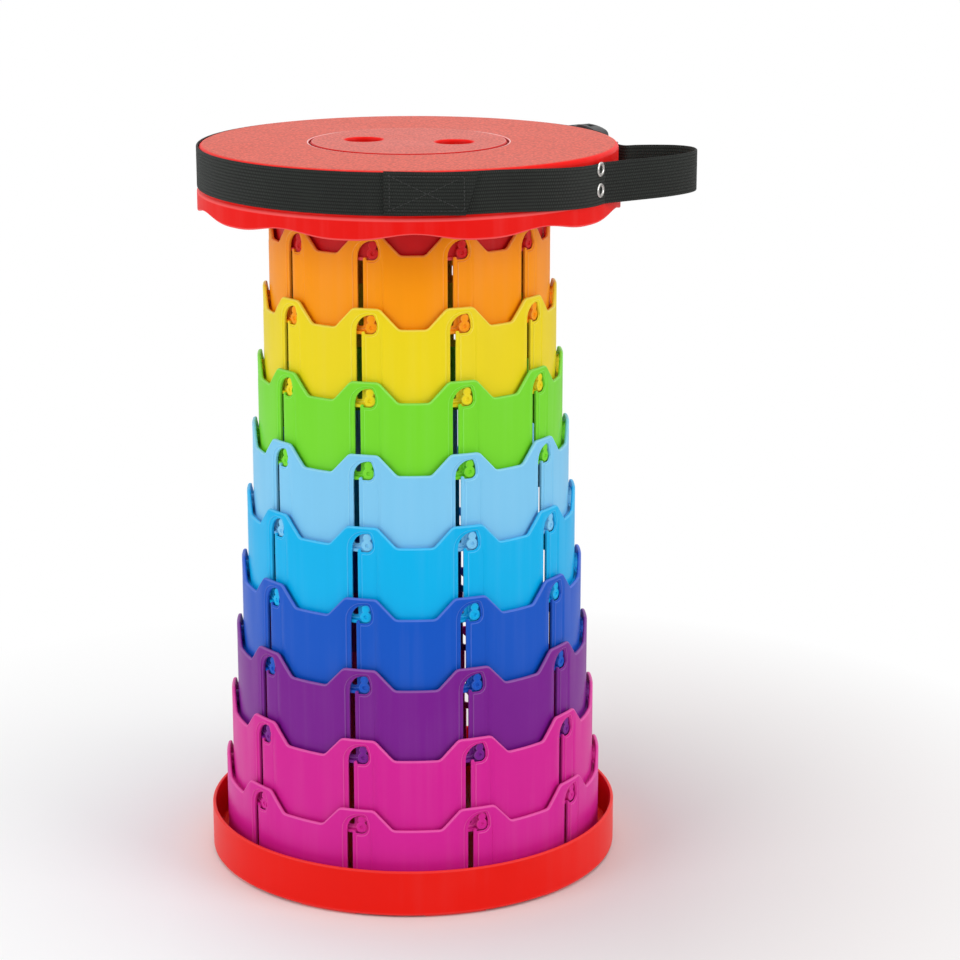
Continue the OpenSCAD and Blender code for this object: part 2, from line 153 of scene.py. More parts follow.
class Shader:
    """A node tree in the making, with one method that adds any node."""

    def __init__(self, tree):
        self.tree = tree
        tree.nodes.clear()

    def node(self, kind, settings=None, sockets=None, out=0):
        """Adds a node, sets its properties first and then its sockets, and returns one output."""
        made = self.tree.nodes.new(kind)
        for name, value in (settings or {}).items():
            if name == "stops":
                self.set_stops(made.color_ramp, value)
            else:
                setattr(made, name, value)
        for name, value in (sockets or {}).items():
            if isinstance(value, Expr):
                self.tree.links.new(value.socket, made.inputs[name])
            else:
                made.inputs[name].default_value = value
        return Expr(self, made.outputs[out]) if made.outputs else made

    @staticmethod
    def set_stops(ramp, stops):
        while len(ramp.elements) < len(stops):
            ramp.elements.new(0.5)
        for element, (place, colour) in zip(ramp.elements, stops):
            element.position = place
            element.color = colour

    def mix(self, factor, a, b):
        """A colour between a and b."""
        return self.node("ShaderNodeMix", {"data_type": "RGBA"}, {0: factor, 6: a, 7: b}, 2)

    def mix_shader(self, factor, a, b):
        return self.node("ShaderNodeMixShader", None, {0: factor, 1: a, 2: b})

    def place(self):
        return self.node("ShaderNodeTexCoord", out="Object")

    def noise(self, where, scale, detail=2.0):
        return self.node("ShaderNodeTexNoise", None,
                         {"Vector": where, "Scale": scale, "Detail": detail})

    def bump(self, strength, distance, height):
        return self.node("ShaderNodeBump", None,
                         {"Strength": strength, "Distance": distance, "Height": height})

    def principled(self, colour, roughness, **sockets):
        return self.node("ShaderNodeBsdfPrincipled", None,
                         {"Base Color": colour, "Roughness": roughness,
                          **{name.replace("_", " "): value for name, value in sockets.items()}})

    def output(self, surface):
        self.node("ShaderNodeOutputMaterial", None, {"Surface": surface})


def linear(red, green, blue):
    """A screen colour from 0 to 255 as the linear colour that a shader takes."""
    values = [c / 255 for c in (red, green, blue)]
    return (*[c / 12.92 if c <= 0.04045 else ((c + 0.055) / 1.055) ** 2.4 for c in values], 1.0)


print("a screen value of 128 is", round(linear(128, 128, 128)[0], 3), "in a shader")

# %% [markdown]
# ## Studio
# Bright plastic is best shown by two large soft boxes and a bounce from above, which leave
# broad, soft highlights. The floor is pale and keeps the contact shadow, and fades to white
# further out. Only camera, glossy and see-through rays meet the white surroundings, so the
# surroundings add no light of their own.

# %% World
WHITE = (1, 1, 1, 1)
scene.view_settings.view_transform = "Standard"
scene.world = bpy.data.worlds.new("studio")
scene.world.use_nodes = True


def seen_directly(shader):
    """1 for rays that show the surroundings: from the camera, off gloss or through glass."""
    path = [shader.node("ShaderNodeLightPath", out=name)
            for name in ("Is Camera Ray", "Is Glossy Ray", "Is Transmission Ray")]
    return (path[0] + path[1] + path[2]).clamped()


sky = Shader(scene.world.node_tree)
ambient = sky.node("ShaderNodeBackground", None, {"Color": (0.94, 0.97, 1.0, 1), "Strength": 0.5})
backdrop = sky.node("ShaderNodeBackground", None, {"Color": WHITE, "Strength": 1.0})
shown = sky.mix_shader(seen_directly(sky), ambient, backdrop)
sky.node("ShaderNodeOutputWorld", None, {"Surface": shown})
print("world:", scene.world.name)

# %% Floor
FADE_FROM, FADE_OVER = 0.16, 0.34  # metres from the middle


def new_material(name):
    made = bpy.data.materials.new(name)
    made.use_nodes = True
    return made, Shader(made.node_tree)


def floor_material():
    """Pale matt floor with a painted shadow to the right, that fades to the white surroundings."""
    made, s = new_material("studio_floor")
    place = s.place()
    far = s.node("ShaderNodeVectorMath", {"operation": "LENGTH"}, {0: place}, "Value")
    fade = ((far - FADE_FROM) / FADE_OVER).clamped()
    # The floor darkens to the right with a painted shadow.
    side = (s.node("ShaderNodeSeparateXYZ", None, {0: place}, "X") / 0.3 + 0.5).clamped()
    floor_with_painted_shadow = s.mix(side, (0.92, 0.91, 0.90, 1), (0.72, 0.66, 0.65, 1))
    paper = s.principled(floor_with_painted_shadow, 0.75, Specular_IOR_Level=0.2)
    glow = s.node("ShaderNodeEmission", None, {"Color": WHITE, "Strength": 1.0})
    show = fade * s.node("ShaderNodeLightPath", out="Is Camera Ray")
    s.output(s.mix_shader(show, paper, glow))
    return made


bpy.ops.mesh.primitive_plane_add(size=12)
floor = bpy.context.object
floor.name = "studio_floor"
floor.data.materials.append(floor_material())
print("floor is white", FADE_FROM + FADE_OVER, "m from the middle")


# %% Soft boxes
def soft_box(name, place, size, watts):
    """A square area light that looks at the middle of the stool."""
    lamp = bpy.data.lights.new(name, "AREA")
    lamp.size = size
    lamp.energy = watts
    box = bpy.data.objects.new(name, lamp)
    scene.collection.objects.link(box)
    box.location = place
    box.rotation_euler = (Vector((0, 0, 0.25)) - Vector(place)).to_track_quat("-Z", "Y").to_euler()


soft_box("left_soft_box", (-1.7, -1.2, 1.1), 1.2, 17)
soft_box("right_soft_box", (1.8, -1.0, 1.0), 1.2, 18)
soft_box("top_soft_box", (0.1, 0.2, 2.2), 1.6, 18)

# %% [markdown]
# ## Moulded plastic
# The stool is injection-moulded polypropylene: saturated colour, satin surface, very fine
# grain, and faint upright flow streaks. A plain glossy red would look like a drawing, so
# noise varies tone and roughness a little. The meshes carry an attribute called "edge": 1 on
# rounded edges, which get a painted highlight, and -1 in grooves, which get painted shade.
# Faces of the seat and cap that look up get a paler painted sheen over their pebble grain.

# %% Plastic finish
def shade(colour, factor, lift=0.0):
    """The colour times a factor, plus a lift towards white."""
    return (*[min(1, factor * c + lift) for c in colour[:3]], 1)


def moulded(name, colour, roughness=0.36, streaks=1.0, specular=0.16, painted_top_sheen=None):
    """Satin moulded plastic; the last argument is the painted sheen colour of the pebble grain on faces
    that look up.
    """
    made, s = new_material(name)
    place = s.place()
    cloud = s.noise(place, 14.0)
    tall = s.node("ShaderNodeMapping", None, {"Vector": place, "Scale": (150.0, 150.0, 5.0)})
    streak = s.noise(tall, 1.0, 3.0)
    fine = s.noise(place, 1400.0)
    edge = s.node("ShaderNodeAttribute", {"attribute_name": "edge"}, out="Fac")
    tone = (cloud - 0.5) * 0.16 + (streak - 0.5) * (0.22 * streaks)
    skin = s.mix((tone * -1.0).clamped(), colour, shade(colour, 0.72))
    skin = s.mix(tone.clamped(), skin, shade(colour, 0.8, 0.2))
    # Rounded edges (edge above 0) get a painted highlight, and grooves (edge below 0) painted shade.
    skin = s.mix((edge * 0.5).clamped(), skin, shade(colour, 1.1, 0.16))
    skin = s.mix((edge * -1.0).clamped(), skin, shade(colour, 0.35))
    height = fine * 0.0875
    rough = roughness + (cloud - 0.5) * 0.12 + edge * 0.06
    if painted_top_sheen:
        normal = s.node("ShaderNodeNewGeometry", out="Normal")
        top = ((s.node("ShaderNodeSeparateXYZ", None, {0: normal}, "Z") - 0.86) * 8.0).clamped()
        cells = s.node("ShaderNodeTexVoronoi", {"feature": "SMOOTH_F1"},
                       {"Vector": place, "Scale": 620.0, "Smoothness": 0.6}, "Distance")
        speck = (cells * 1.5 + (fine - 0.5) * 1.2 - 0.1).clamped()
        # Faces that look up get a painted sheen over the pebble grain, lighter on the pebbles' tips and
        # whitest on rounded edges.
        grain_and_painted_sheen = s.mix(speck, shade(painted_top_sheen, 1.16), shade(painted_top_sheen, 0.72))
        grain_and_painted_sheen = s.mix((edge * 0.6).clamped(), grain_and_painted_sheen, WHITE)
        skin = s.mix(top * (edge * 0.7 + 1.0).clamped(), skin, grain_and_painted_sheen)
        height = height + cells * top * 1.1
        rough = rough + top * 0.12
    s.output(s.principled(skin, rough, Normal=s.bump(1.0, 0.0002, height), IOR=1.49,
                          Specular_IOR_Level=specular))
    return made


# %% Colours
RED = linear(236, 20, 14)
RING_COLOURS = {
    1: ("red", linear(214, 26, 30)),
    2: ("orange", linear(254, 156, 2)),
    3: ("yellow", linear(241, 219, 24)),
    4: ("green", linear(122, 222, 44)),
    5: ("light_blue", linear(128, 204, 243)),
    6: ("sky_blue", linear(0, 181, 238)),
    7: ("royal_blue", linear(14, 86, 196)),
    8: ("purple", linear(122, 26, 142)),
    9: ("magenta", linear(214, 30, 149)),
}
RING_COLOURS[10] = RING_COLOURS[9]
plastic = {}
for name, colour in RING_COLOURS.values():
    if name not in plastic:
        plastic[name] = moulded(f"{name}_plastic", colour)
# The seat and cap get a pale painted sheen on the faces that look up.
seat_plastic = moulded("seat_plastic", RED, 0.42, specular=0.1, painted_top_sheen=linear(219, 101, 86))
cap_plastic = moulded("cap_plastic", RED, 0.42, specular=0.1, painted_top_sheen=linear(217, 112, 101))
base_plastic = moulded("base_plastic", linear(238, 24, 12), streaks=0.4, specular=0.12)
print("plastics:", sorted(plastic))

# %% [markdown]
# ## Outlines
# Every moulded part starts as a rounded outline. One helper rounds the corners of a point
# list and another moves an outline sideways, which gives the lines that a rounded edge or a
# sunk border follows. A Bevel modifier could round the edges, but it fails where a slot, a
# border and a groove lie as close together as on these rings.

# %% Rounded outlines
def unit(v):
    return v / np.linalg.norm(v)


def rounded(points, steps=6):
    """A closed outline from (x, y, corner radius) points, with each corner as an arc."""
    made = []
    for i, (x, y, r) in enumerate(points):
        b = np.array([x, y], float)
        if r <= 0:
            made.append(b)
            continue
        u = unit(np.array(points[i - 1][:2]) - b)
        v = unit(np.array(points[(i + 1) % len(points)][:2]) - b)
        half = math.acos(float(u @ v)) / 2
        centre = b + unit(u + v) * r / math.sin(half)
        ends = [b + w * r / math.tan(half) - centre for w in (u, v)]
        start, stop = (math.atan2(e[1], e[0]) for e in ends)
        sweep = (stop - start + math.pi) % (2 * math.pi) - math.pi
        turns = [start + sweep * t / steps for t in range(steps + 1)]
        made += [centre + r * np.array([math.cos(t), math.sin(t)]) for t in turns]
    keep = [p for i, p in enumerate(made) if np.linalg.norm(p - made[i - 1]) > 1e-3]
    return np.array(keep)


print("a rounded square has", len(rounded([(0, 0, 1), (9, 0, 1), (9, 9, 1), (0, 9, 1)])), "points")


# %% Shifted outlines
def shifted(line, by, closed=True):
    """The line moved by a distance to its left; an open line's ends only move up."""
    before = line - np.roll(line, 1, 0)
    after = np.roll(line, -1, 0) - line
    if not closed:
        before[0] = after[0]
        after[-1] = before[-1]
    sides = [np.stack([-d[:, 1], d[:, 0]], 1) / np.linalg.norm(d, axis=1)[:, None]
             for d in (before, after)]
    mean = sides[0] + sides[1]
    mean /= np.linalg.norm(mean, axis=1)[:, None]
    stretch = 1 / np.clip((mean * sides[0]).sum(1), 0.5, 1)
    return line + mean * (by * stretch)[:, None]


def circle(r, x=0.0, y=0.0, steps=48):
    t = np.arange(steps) * 2 * math.pi / steps
    return np.stack([x + r * np.cos(t), y + r * np.sin(t)], 1)


def inside(outline, points):
    """Which points lie inside a closed outline."""
    x, y = points[:, 0, None], points[:, 1, None]
    a, b = outline, np.roll(outline, -1, 0)
    spans = (a[:, 1] > y) != (b[:, 1] > y)
    with np.errstate(divide="ignore", invalid="ignore"):
        cross = a[:, 0] + (y - a[:, 1]) * (b[:, 0] - a[:, 0]) / (b[:, 1] - a[:, 1])
    return (spans & (x < cross)).sum(1) % 2 == 1


print("a circle of 5 mm moved in by 1 mm:", round(shifted(circle(5), 1)[0, 0], 2), "mm")


# %% Rounded edges
def edge_lines(line, r_front, r_back, closed=True, sunk=0.0, painted_edge_light=1.0, steps=3):
    """The lines of a rounded edge: each is (line, closed, front depth, back depth, painted light)."""
    made = []
    for i in range(steps + 1):
        phi = math.pi / 2 * i / steps
        d = r_front * (1 - math.cos(phi))
        back = r_back - math.sqrt(max(r_back ** 2 - (r_back - d) ** 2, 0)) if d < r_back else 0.0
        painted_light = painted_edge_light if i < steps else 0.0
        front = sunk + r_front * (1 - math.sin(phi))
        made.append((shifted(line, d, closed), closed, front, back, painted_light))
    return made


print("a rounded edge follows", len(edge_lines(circle(5), 1, 1)), "lines")


# %% [markdown]
# ## Walls with relief
# A moulded wall is nearly flat, with lines where its surface steps or bends. It is drawn
# flat: each line has a depth for the front skin and one for the back skin. A constrained
# Delaunay triangulation joins the lines, both skins share it, and the rims between them
# close the solid. x runs along the wall, z up, and y is the depth below the front.

# %% Relief plates
def relief(lines, solid, wall, back_groove=None, open_at=None):
    """Vertices, faces and painted edge light of a wall. solid(points) says where there is material."""
    points, edges, tags = [], [], []
    for line, closed, *tag in lines:
        first, n = len(points), len(line)
        points += [Vector(p) for p in line]
        edges += [(first + i, first + (i + 1) % n) for i in range(n if closed else n - 1)]
        tags += [tag] * (n if closed else n - 1)
    flat, flat_edges, tris, _, sources, _ = delaunay_2d_cdt(points, edges, [], 0, 1e-5)
    flat = np.array([tuple(p) for p in flat])
    tris = np.array([t for t in tris if len(t) == 3])
    front, back, painted_light = np.zeros(len(flat)), np.zeros(len(flat)), np.zeros(len(flat))
    for pair, source in zip(flat_edges, sources):
        for tag in (tags[e] for e in source if tags[e]):
            for v in pair:
                front[v], back[v], painted_light[v] = tag
    tris = tris[solid(flat[tris].mean(1))]
    if back_groove:
        back = back + back_groove(flat)
    a, b, c = (flat[tris[:, i]] for i in range(3))
    turned = np.cross(b - a, c - a) < 0
    tris[turned] = tris[turned][:, ::-1]
    n = len(flat)
    verts = np.concatenate([np.stack([flat[:, 0], front, flat[:, 1]], 1),
                            np.stack([flat[:, 0], wall - back, flat[:, 1]], 1)])
    sides = {(int(t[i]), int(t[(i + 1) % 3])) for t in tris for i in range(3)}
    rims = [(p, q) for p, q in sides if (q, p) not in sides]
    if open_at is not None:
        at_cut = np.abs(np.abs(flat[:, 0]) - open_at) < 1e-4
        rims = [(p, q) for p, q in rims if not (at_cut[p] and at_cut[q])]
    faces = [tuple(t) for t in tris.tolist()]
    faces += [tuple(n + i for i in reversed(t)) for t in faces]
    faces += [(p, p + n, q + n, q) for p, q in rims]
    return verts, faces, np.concatenate([painted_light, np.zeros(n)])


coin = relief([(circle(5), True, 0.0, 0.0, 0.0)], lambda p: inside(circle(5), p), 2)
print("a coin:", len(coin[1]), "faces")


# %% Mesh objects
def joined(*parts):
    """Several (vertices, faces, painted light) as one."""
    verts, faces, painted_light, first = [], [], [], 0
    for v, f, w in parts:
        verts.append(v)
        faces += [tuple(first + i for i in face) for face in f]
        painted_light.append(w)
        first += len(v)
    return np.concatenate(verts), faces, np.concatenate(painted_light)


def mesh_object(name, part, material=None, place=None):
    """A mesh object in metres from (vertices in millimetres, faces, painted light)."""
    verts, faces, painted_light = part
    mesh = bpy.data.meshes.new(name)
    mesh.from_pydata((np.asarray(verts) * MM).tolist(), [], faces)
    # The "edge" attribute carries painted light: above 0 a painted highlight, below 0 painted shade.
    mesh.attributes.new("edge", "FLOAT", "POINT").data.foreach_set("value", painted_light.astype(np.float32))
    tidy = bmesh.new()
    tidy.from_mesh(mesh)
    bmesh.ops.delete(tidy, geom=[v for v in tidy.verts if not v.link_faces], context="VERTS")
    bmesh.ops.remove_doubles(tidy, verts=tidy.verts, dist=1e-7)
    tidy.to_mesh(mesh)
    tidy.free()
    if place is not None:
        mesh.transform(place)
    if material:
        mesh.materials.append(material)
    made = bpy.data.objects.new(name, mesh)
    scene.collection.objects.link(made)
    return made


def smooth(piece, degrees=38):
    piece.data.shade_smooth()
    piece.data.set_sharp_from_angle(angle=math.radians(degrees))
    return piece


print("two coins:", len(joined(coin, coin)[1]), "faces")

# %% [markdown]
# ## Repeating a panel round the axis
# A ring is one panel, ten times. It could be an Array with a turned empty and a Simple
# Deform, but those depend on each other's order and leave the seams open. A Geometry Nodes
# tree bends the flat panel round the axis, copies it on a set of points, turns each copy by
# its index, and welds the seams. The same tree without the bend repeats ribs and feet.

# %% Geometry Nodes tree
class Geometry(Shader):
    """A Geometry Nodes tree in the making; inputs are named and numbers wrap as expressions."""

    def __init__(self, name):
        tree = bpy.data.node_groups.new(name, "GeometryNodeTree")
        super().__init__(tree)
        tree.interface.new_socket("Geometry", in_out="INPUT", socket_type="NodeSocketGeometry")
        tree.interface.new_socket("Geometry", in_out="OUTPUT", socket_type="NodeSocketGeometry")
        self.entry = tree.nodes.new("NodeGroupInput")

    def value(self, name, kind="NodeSocketFloat"):
        self.tree.interface.new_socket(name, in_out="INPUT", socket_type=kind)
        return Expr(self, self.entry.outputs[name])

    def finish(self, geometry, material):
        """Ends the tree in Realize Instances, a weld and Set Material."""
        real = self.node("GeometryNodeRealizeInstances", None, {0: geometry})
        weld = self.node("GeometryNodeMergeByDistance", None, {"Geometry": real, "Distance": 2e-6})
        done = self.node("GeometryNodeSetMaterial", None, {"Geometry": weld, "Material": material})
        self.node("NodeGroupOutput", None, {0: done})
        return self.tree


def ring_tree(bend):
    g = Geometry("bent_ring" if bend else "round_row")
    panel = Expr(g, g.entry.outputs["Geometry"])
    radius = g.value("Radius")
    count = g.value("Copies", "NodeSocketInt")
    turn = g.value("Turn")
    step = g.value("Step")
    material = g.value("Material", "NodeSocketMaterial")
    if bend:
        where = g.node("GeometryNodeInputPosition")
        x, y, z = (g.node("ShaderNodeSeparateXYZ", None, {0: where}, out) for out in "XYZ")
        angle = x / radius
        reach = radius - y
        sine, cosine = angle.math("SINE", angle), angle.math("COSINE", angle)
        bent = g.node("ShaderNodeCombineXYZ", None,
                      {"X": reach * sine, "Y": reach * cosine * -1.0, "Z": z})
        panel = g.node("GeometryNodeSetPosition", None, {"Geometry": panel, "Position": bent})
    points = g.node("GeometryNodePoints", None, {"Count": count})
    spin = g.node("ShaderNodeCombineXYZ", None, {"Z": turn + g.node("GeometryNodeInputIndex") * step})
    copies = g.node("GeometryNodeInstanceOnPoints", None,
                    {"Points": points, "Instance": panel, "Rotation": spin})
    return g.finish(copies, material)


bent_ring = ring_tree(True)
round_row = ring_tree(False)
print("trees:", bent_ring.name, round_row.name)


# %% Objects from a tree
def with_tree(name, source, tree, **values):
    """Runs a tree on an object and returns the plain mesh object that it makes."""
    modifier = source.modifiers.new(name, "NODES")
    modifier.node_group = tree
    keys = {item.name: item.identifier for item in tree.interface.items_tree if item.in_out == "INPUT"}
    for key, value in values.items():
        modifier[keys[key]] = value
    bpy.context.view_layer.update()
    evaluated = source.evaluated_get(bpy.context.evaluated_depsgraph_get())
    mesh = bpy.data.meshes.new_from_object(evaluated)
    source.modifiers.remove(modifier)
    bpy.data.objects.remove(source)
    mesh.name = name
    made = bpy.data.objects.new(name, mesh)
    scene.collection.objects.link(made)
    return made


print("tree inputs:", [item.name for item in bent_ring.interface.items_tree if item.in_out == "INPUT"])

# %% [markdown]
# ## A ring's lines
# Under each arch lies a hooked slot: an upright run that bends over into a round pocket,
# with a rounded hump between the two. A pin of the next ring is drawn up the run and drops
# into the pocket, which holds the stool open. The sizes are the construction's; the slot's
# sides stand in a little, because moulded sides are never quite sharp.

# %% Ring sizes
ARCH_HALF = 5.25  # half the arch's flat top, as an angle
SLOPE_W = 11.6
SLOPE_H = 12.2
ARCH_CORNER = 5.0
TROUGH_CORNER = 4.0
SLOT_W = 4.2
SLOT_OFF = 4.5
SLOT_FOOT = 4.5
CREST_WALL = 3.9
HOOK_R = 9.6
HUMP_H = 1.5
POCKET_IN = 1.7  # how far the pocket's side leans in at its top
POCKET_SIDE = 6.9
BORDER_D = 0.6
BORDER_W = 2.4
PIN_R = 3.4
NUB_R = 2.5
NUB_UP = 4.9
PIN_UP = 4.4
PIN_OFF = 2.95
PIN_BITE = 0.8
PIN_REACH = RING_STEP - RING_WALL + PIN_BITE
EDGE_R = 1.2  # rounding of the wall's outer top edge
BACK_R = 0.5
SEAM_D = 0.18  # depth of the insert's seam
SLOT_LIP = 0.3  # how far the slot's softened sides stand in
FAR_DOWN = -10.0  # below the panel's foot

SLOT_X0, SLOT_X1 = -SLOT_OFF - SLOT_W / 2, -SLOT_OFF + SLOT_W / 2
POCKET_X0, POCKET_X1 = PIN_OFF - PIN_R - RUN_GAP, PIN_OFF + PIN_R + RUN_GAP
POCKET_TOP = RING_H - CREST_WALL
LIFT = span_z(ring_node(RINGS - 1))[0] - RING_FOOT
POCKET_FLOOR = LIFT + PIN_UP - PIN_R - RUN_GAP
HUMP_Y = POCKET_FLOOR + HUMP_H
SHOULDER_Y = POCKET_FLOOR + POCKET_SIDE
SEAM_X = POCKET_X1 + 2.6
print(f"slot {SLOT_X0:.1f} to {SLOT_X1:.1f} mm, pocket {POCKET_X0:.2f} to {POCKET_X1:.2f} mm")


# %% Crest, hook and border
def crest_line(r, half):
    """The open line along the wall's top, from cut to cut."""
    top = PITCH / 2 - ARCH_HALF
    low = math.degrees(math.asin(math.sin(math.radians(top)) - SLOPE_W / r))
    x_top, x_low = (math.radians(PITCH / 2 - a) * r for a in (top, low))
    trough = RING_H - SLOPE_H
    line = rounded([(half, FAR_DOWN, 0), (half, trough, 0), (x_low, trough, TROUGH_CORNER),
                    (x_top, RING_H, ARCH_CORNER), (-x_top, RING_H, ARCH_CORNER),
                    (-x_low, trough, TROUGH_CORNER), (-half, trough, 0), (-half, FAR_DOWN, 0)])
    return line[1:-1]


def hook_line():
    """The closed line of slot and pocket, run so that the material lies to its left."""
    left, right = SLOT_X0 + SLOT_LIP, SLOT_X1 - SLOT_LIP
    tip = (POCKET_X0 - right) / 2 - 0.05
    return rounded([(left, SLOT_FOOT, SLOT_W / 4), (left, POCKET_TOP, HOOK_R),
                    (POCKET_X1 - POCKET_IN, POCKET_TOP, NUB_R - 1), (POCKET_X1, SHOULDER_Y, PIN_R),
                    (POCKET_X1, POCKET_FLOOR, PIN_R + 0.25),
                    (POCKET_X0, POCKET_FLOOR, HUMP_H / 2 - 0.1), (POCKET_X0, HUMP_Y, tip),
                    (right, HUMP_Y, tip), (right, SLOT_FOOT, SLOT_W / 4)])


def border_line():
    """The sunk border's outer line: wide beside the slot, narrow round the pocket."""
    narrow = BORDER_W / 2
    x0, x1, x2 = SLOT_X0 - BORDER_W, POCKET_X1 + narrow, SLOT_X1 + BORDER_W
    return rounded([(x0, SLOT_FOOT - narrow, BORDER_W), (x0, POCKET_TOP + narrow, HOOK_R + narrow),
                    (x1 - POCKET_IN, POCKET_TOP + narrow, NUB_R), (x1, SHOULDER_Y, PIN_R + narrow),
                    (x1, POCKET_FLOOR - narrow, PIN_R + narrow),
                    (x2, POCKET_FLOOR - narrow, 0.4), (x2, SLOT_FOOT - narrow, BORDER_W)])


print("hook line:", len(hook_line()), "points")

# %% [markdown]
# ## One panel
# The panel is one relief: a rounded crest, a flange at the foot that stands out to run in
# the next ring, the hook with its sunk border, a hair line where the mould's insert ends,
# and a shallow groove down the back in which the inner ring's pin runs. Its left and right
# ends stay open, so that ten panels can be welded into a ring.

# %% Ring panel
# Each line of the border's step: shift, depth, and painted highlight along the bead.
BORDER_STEP = ((-0.35, BORDER_D, 0.0), (0.0, 0.22, 0.6), (0.12, 0.06, 1.0), (0.45, 0.0, 0.0))
GROOVE = POCKET_X0 + 0.05, POCKET_X1 + 0.15  # sides of the groove in the back
GROOVE_TOP = POCKET_FLOOR + PIN_R + RUN_GAP
COLUMNS = 17  # upright lines that let the panel bend


def level(z, half, front, back):
    return (np.array([[-half, z], [half, z]]), False, front, back, 0.0)


def upright(x, low, high, *tag):
    return (np.array([[x, low], [x, high]]), False, *tag)


def ring_panel(r):
    """One panel of a ring, centred on its arch, as a flat relief."""
    half = STEP / 2 * r
    crest = crest_line(r, half)
    # The crest's rounded edge gets a painted highlight.
    lines = edge_lines(crest, EDGE_R, BACK_R, closed=False)
    lines += [level(0, half, 0.4 - FLANGE, BACK_R), level(0.4, half, -FLANGE, 0),
              level(FLANGE_H - 0.3, half, -FLANGE, 0), level(FLANGE_H, half, 0.3 - FLANGE, 0),
              level(FLANGE_H + 0.05, half, 0, 0)]
    hole, border = hook_line(), border_line()
    # The slot's softened sides get a weaker painted highlight.
    lines += edge_lines(hole, 0.3, 0.1, sunk=BORDER_D, steps=2, painted_edge_light=0.4)
    lines += [(shifted(border, out), True, depth, 0.0, painted_light) for out, depth, painted_light in BORDER_STEP]
    for x, depth in ((SEAM_X, SEAM_D), (SEAM_X + 0.25, 0.0)):
        lines.append(upright(x, FLANGE_H + 0.6, POCKET_FLOOR - 2.5, depth, 0.0, 0.0))
    lines += [upright(x + side, -1, GROOVE_TOP) for x in GROOVE for side in (-0.02, 0.02)]
    lines += [upright(x, -2.0, RING_H + 2) for x in np.linspace(-half, half, COLUMNS)]
    wall = np.concatenate([[[-half, 0.0], [half, 0.0]], crest])

    def solid(p):
        return inside(wall, p) & ~inside(hole, p)

    def pin_groove(p):
        in_run = (p[:, 0] > GROOVE[0]) & (p[:, 0] < GROOVE[1]) & (p[:, 1] < GROOVE_TOP)
        return np.where(in_run, PIN_BITE + RUN_GAP, 0.0)

    return relief(lines, solid, RING_WALL, pin_groove, open_at=half)


print("largest panel:", len(ring_panel(RING_R)[1]), "faces")

# %% [markdown]
# ## Pins
# Each pin is a small boss in the shape of two circles that run into each other, with a
# dimple left by the mould's ejector. It is the same kind of relief, only thicker, so it can
# ride along with its panel and be bent by the same tree.


# %% Pins
SOFT = 0.45  # rounding of a pin's front edge
DIMPLE = ((1.35, 0.0), (1.15, 0.18), (0.9, 0.7), (0.5, 0.8))  # radius and depth


def pin_outline(inset):
    """Two circles that run into each other, a large one below a small one."""
    big, small = PIN_R - inset, NUB_R - inset
    y = (big ** 2 - small ** 2 + NUB_UP ** 2) / (2 * NUB_UP)
    a0 = math.acos(y / big)
    b0 = math.acos(max(-1.0, min(1.0, (NUB_UP - y) / small)))
    lower = [math.pi / 2 + a0 + (2 * math.pi - 2 * a0) * i / 28 for i in range(29)]
    upper = [b0 - math.pi / 2 + (2 * math.pi - 2 * b0) * i / 20 for i in range(1, 20)]
    points = [(PIN_OFF + big * math.cos(t), PIN_UP + big * math.sin(t)) for t in lower]
    points += [(PIN_OFF + small * math.cos(t), PIN_UP + NUB_UP + small * math.sin(t)) for t in upper]
    return np.array(points)


def pin():
    """The pin on a ring's foot, with a soft front edge and a dimple."""
    lines = []
    # The soft front edge gets half a painted highlight.
    for phi, painted_light in zip(np.radians([0, 30, 60, 90]), (0.5, 0.5, 0.5, 0.0)):
        depth = SOFT * (1 - math.sin(phi)) - PIN_REACH
        lines.append((pin_outline(SOFT * (1 - math.cos(phi))), True, depth, 0.0, painted_light))
    for r, depth in DIMPLE:
        lines.append((circle(r, PIN_OFF, PIN_UP, 16), True, depth - PIN_REACH, 0.0, 0.0))
    outline = pin_outline(0)
    return relief(lines, lambda p: inside(outline, p), 0.5)


print("pin:", len(pin()[1]), "faces, reaches", round(PIN_REACH, 2), "mm out")

# %% [markdown]
# ## Rings
# Nine of the rings differ only in radius, height and colour, so one loop makes them: the
# flat panel of each radius, its pin, and the tree that bends and repeats them. The largest
# ring stands in the base and has no pins; the smallest one is plain and comes later.

# %% Rings
ARCH_TURN = math.radians(PANEL_TURN) + STEP / 2  # the first arch's turn from the front


def moulded_ring(name, part, foot, r, colour):
    """A ring from a flat part of one panel, with its foot at a height."""
    flat = mesh_object("panel", part, place=Matrix.Translation((0, 0, foot * MM)))
    return with_tree(name, flat, bent_ring, Radius=r * MM, Copies=PANELS, Turn=ARCH_TURN,
                     Step=STEP, Material=plastic[colour])


def dress(piece, body, node, degrees=38):
    """Smooth shading; attaches the piece to its body and hides the construction part."""
    smooth(piece, degrees)
    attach(piece, body)
    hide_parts(node)
    print(piece.name, len(piece.data.polygons), "faces")
    return piece


for k in range(2, RINGS + 1):
    part = joined(ring_panel(ring_radius(k)), pin()) if k < RINGS else ring_panel(RING_R)
    colour, foot = RING_COLOURS[k][0], span_z(ring_node(k))[0]
    ring = moulded_ring(f"moulded_ring_{k:02d}", part, foot, ring_radius(k), colour)
    dress(ring, ring_node(k) if k < RINGS else "base", ring_node(k))

# %% [markdown]
# ## Turned parts
# The seat, the smallest ring, the centre cap and the tray are round. Blender's Screw or Spin
# could turn them, but a profile of radius and height, turned in a few lines of code, keeps
# the faces in order and knows which corners stick out, so those can get a painted highlight.

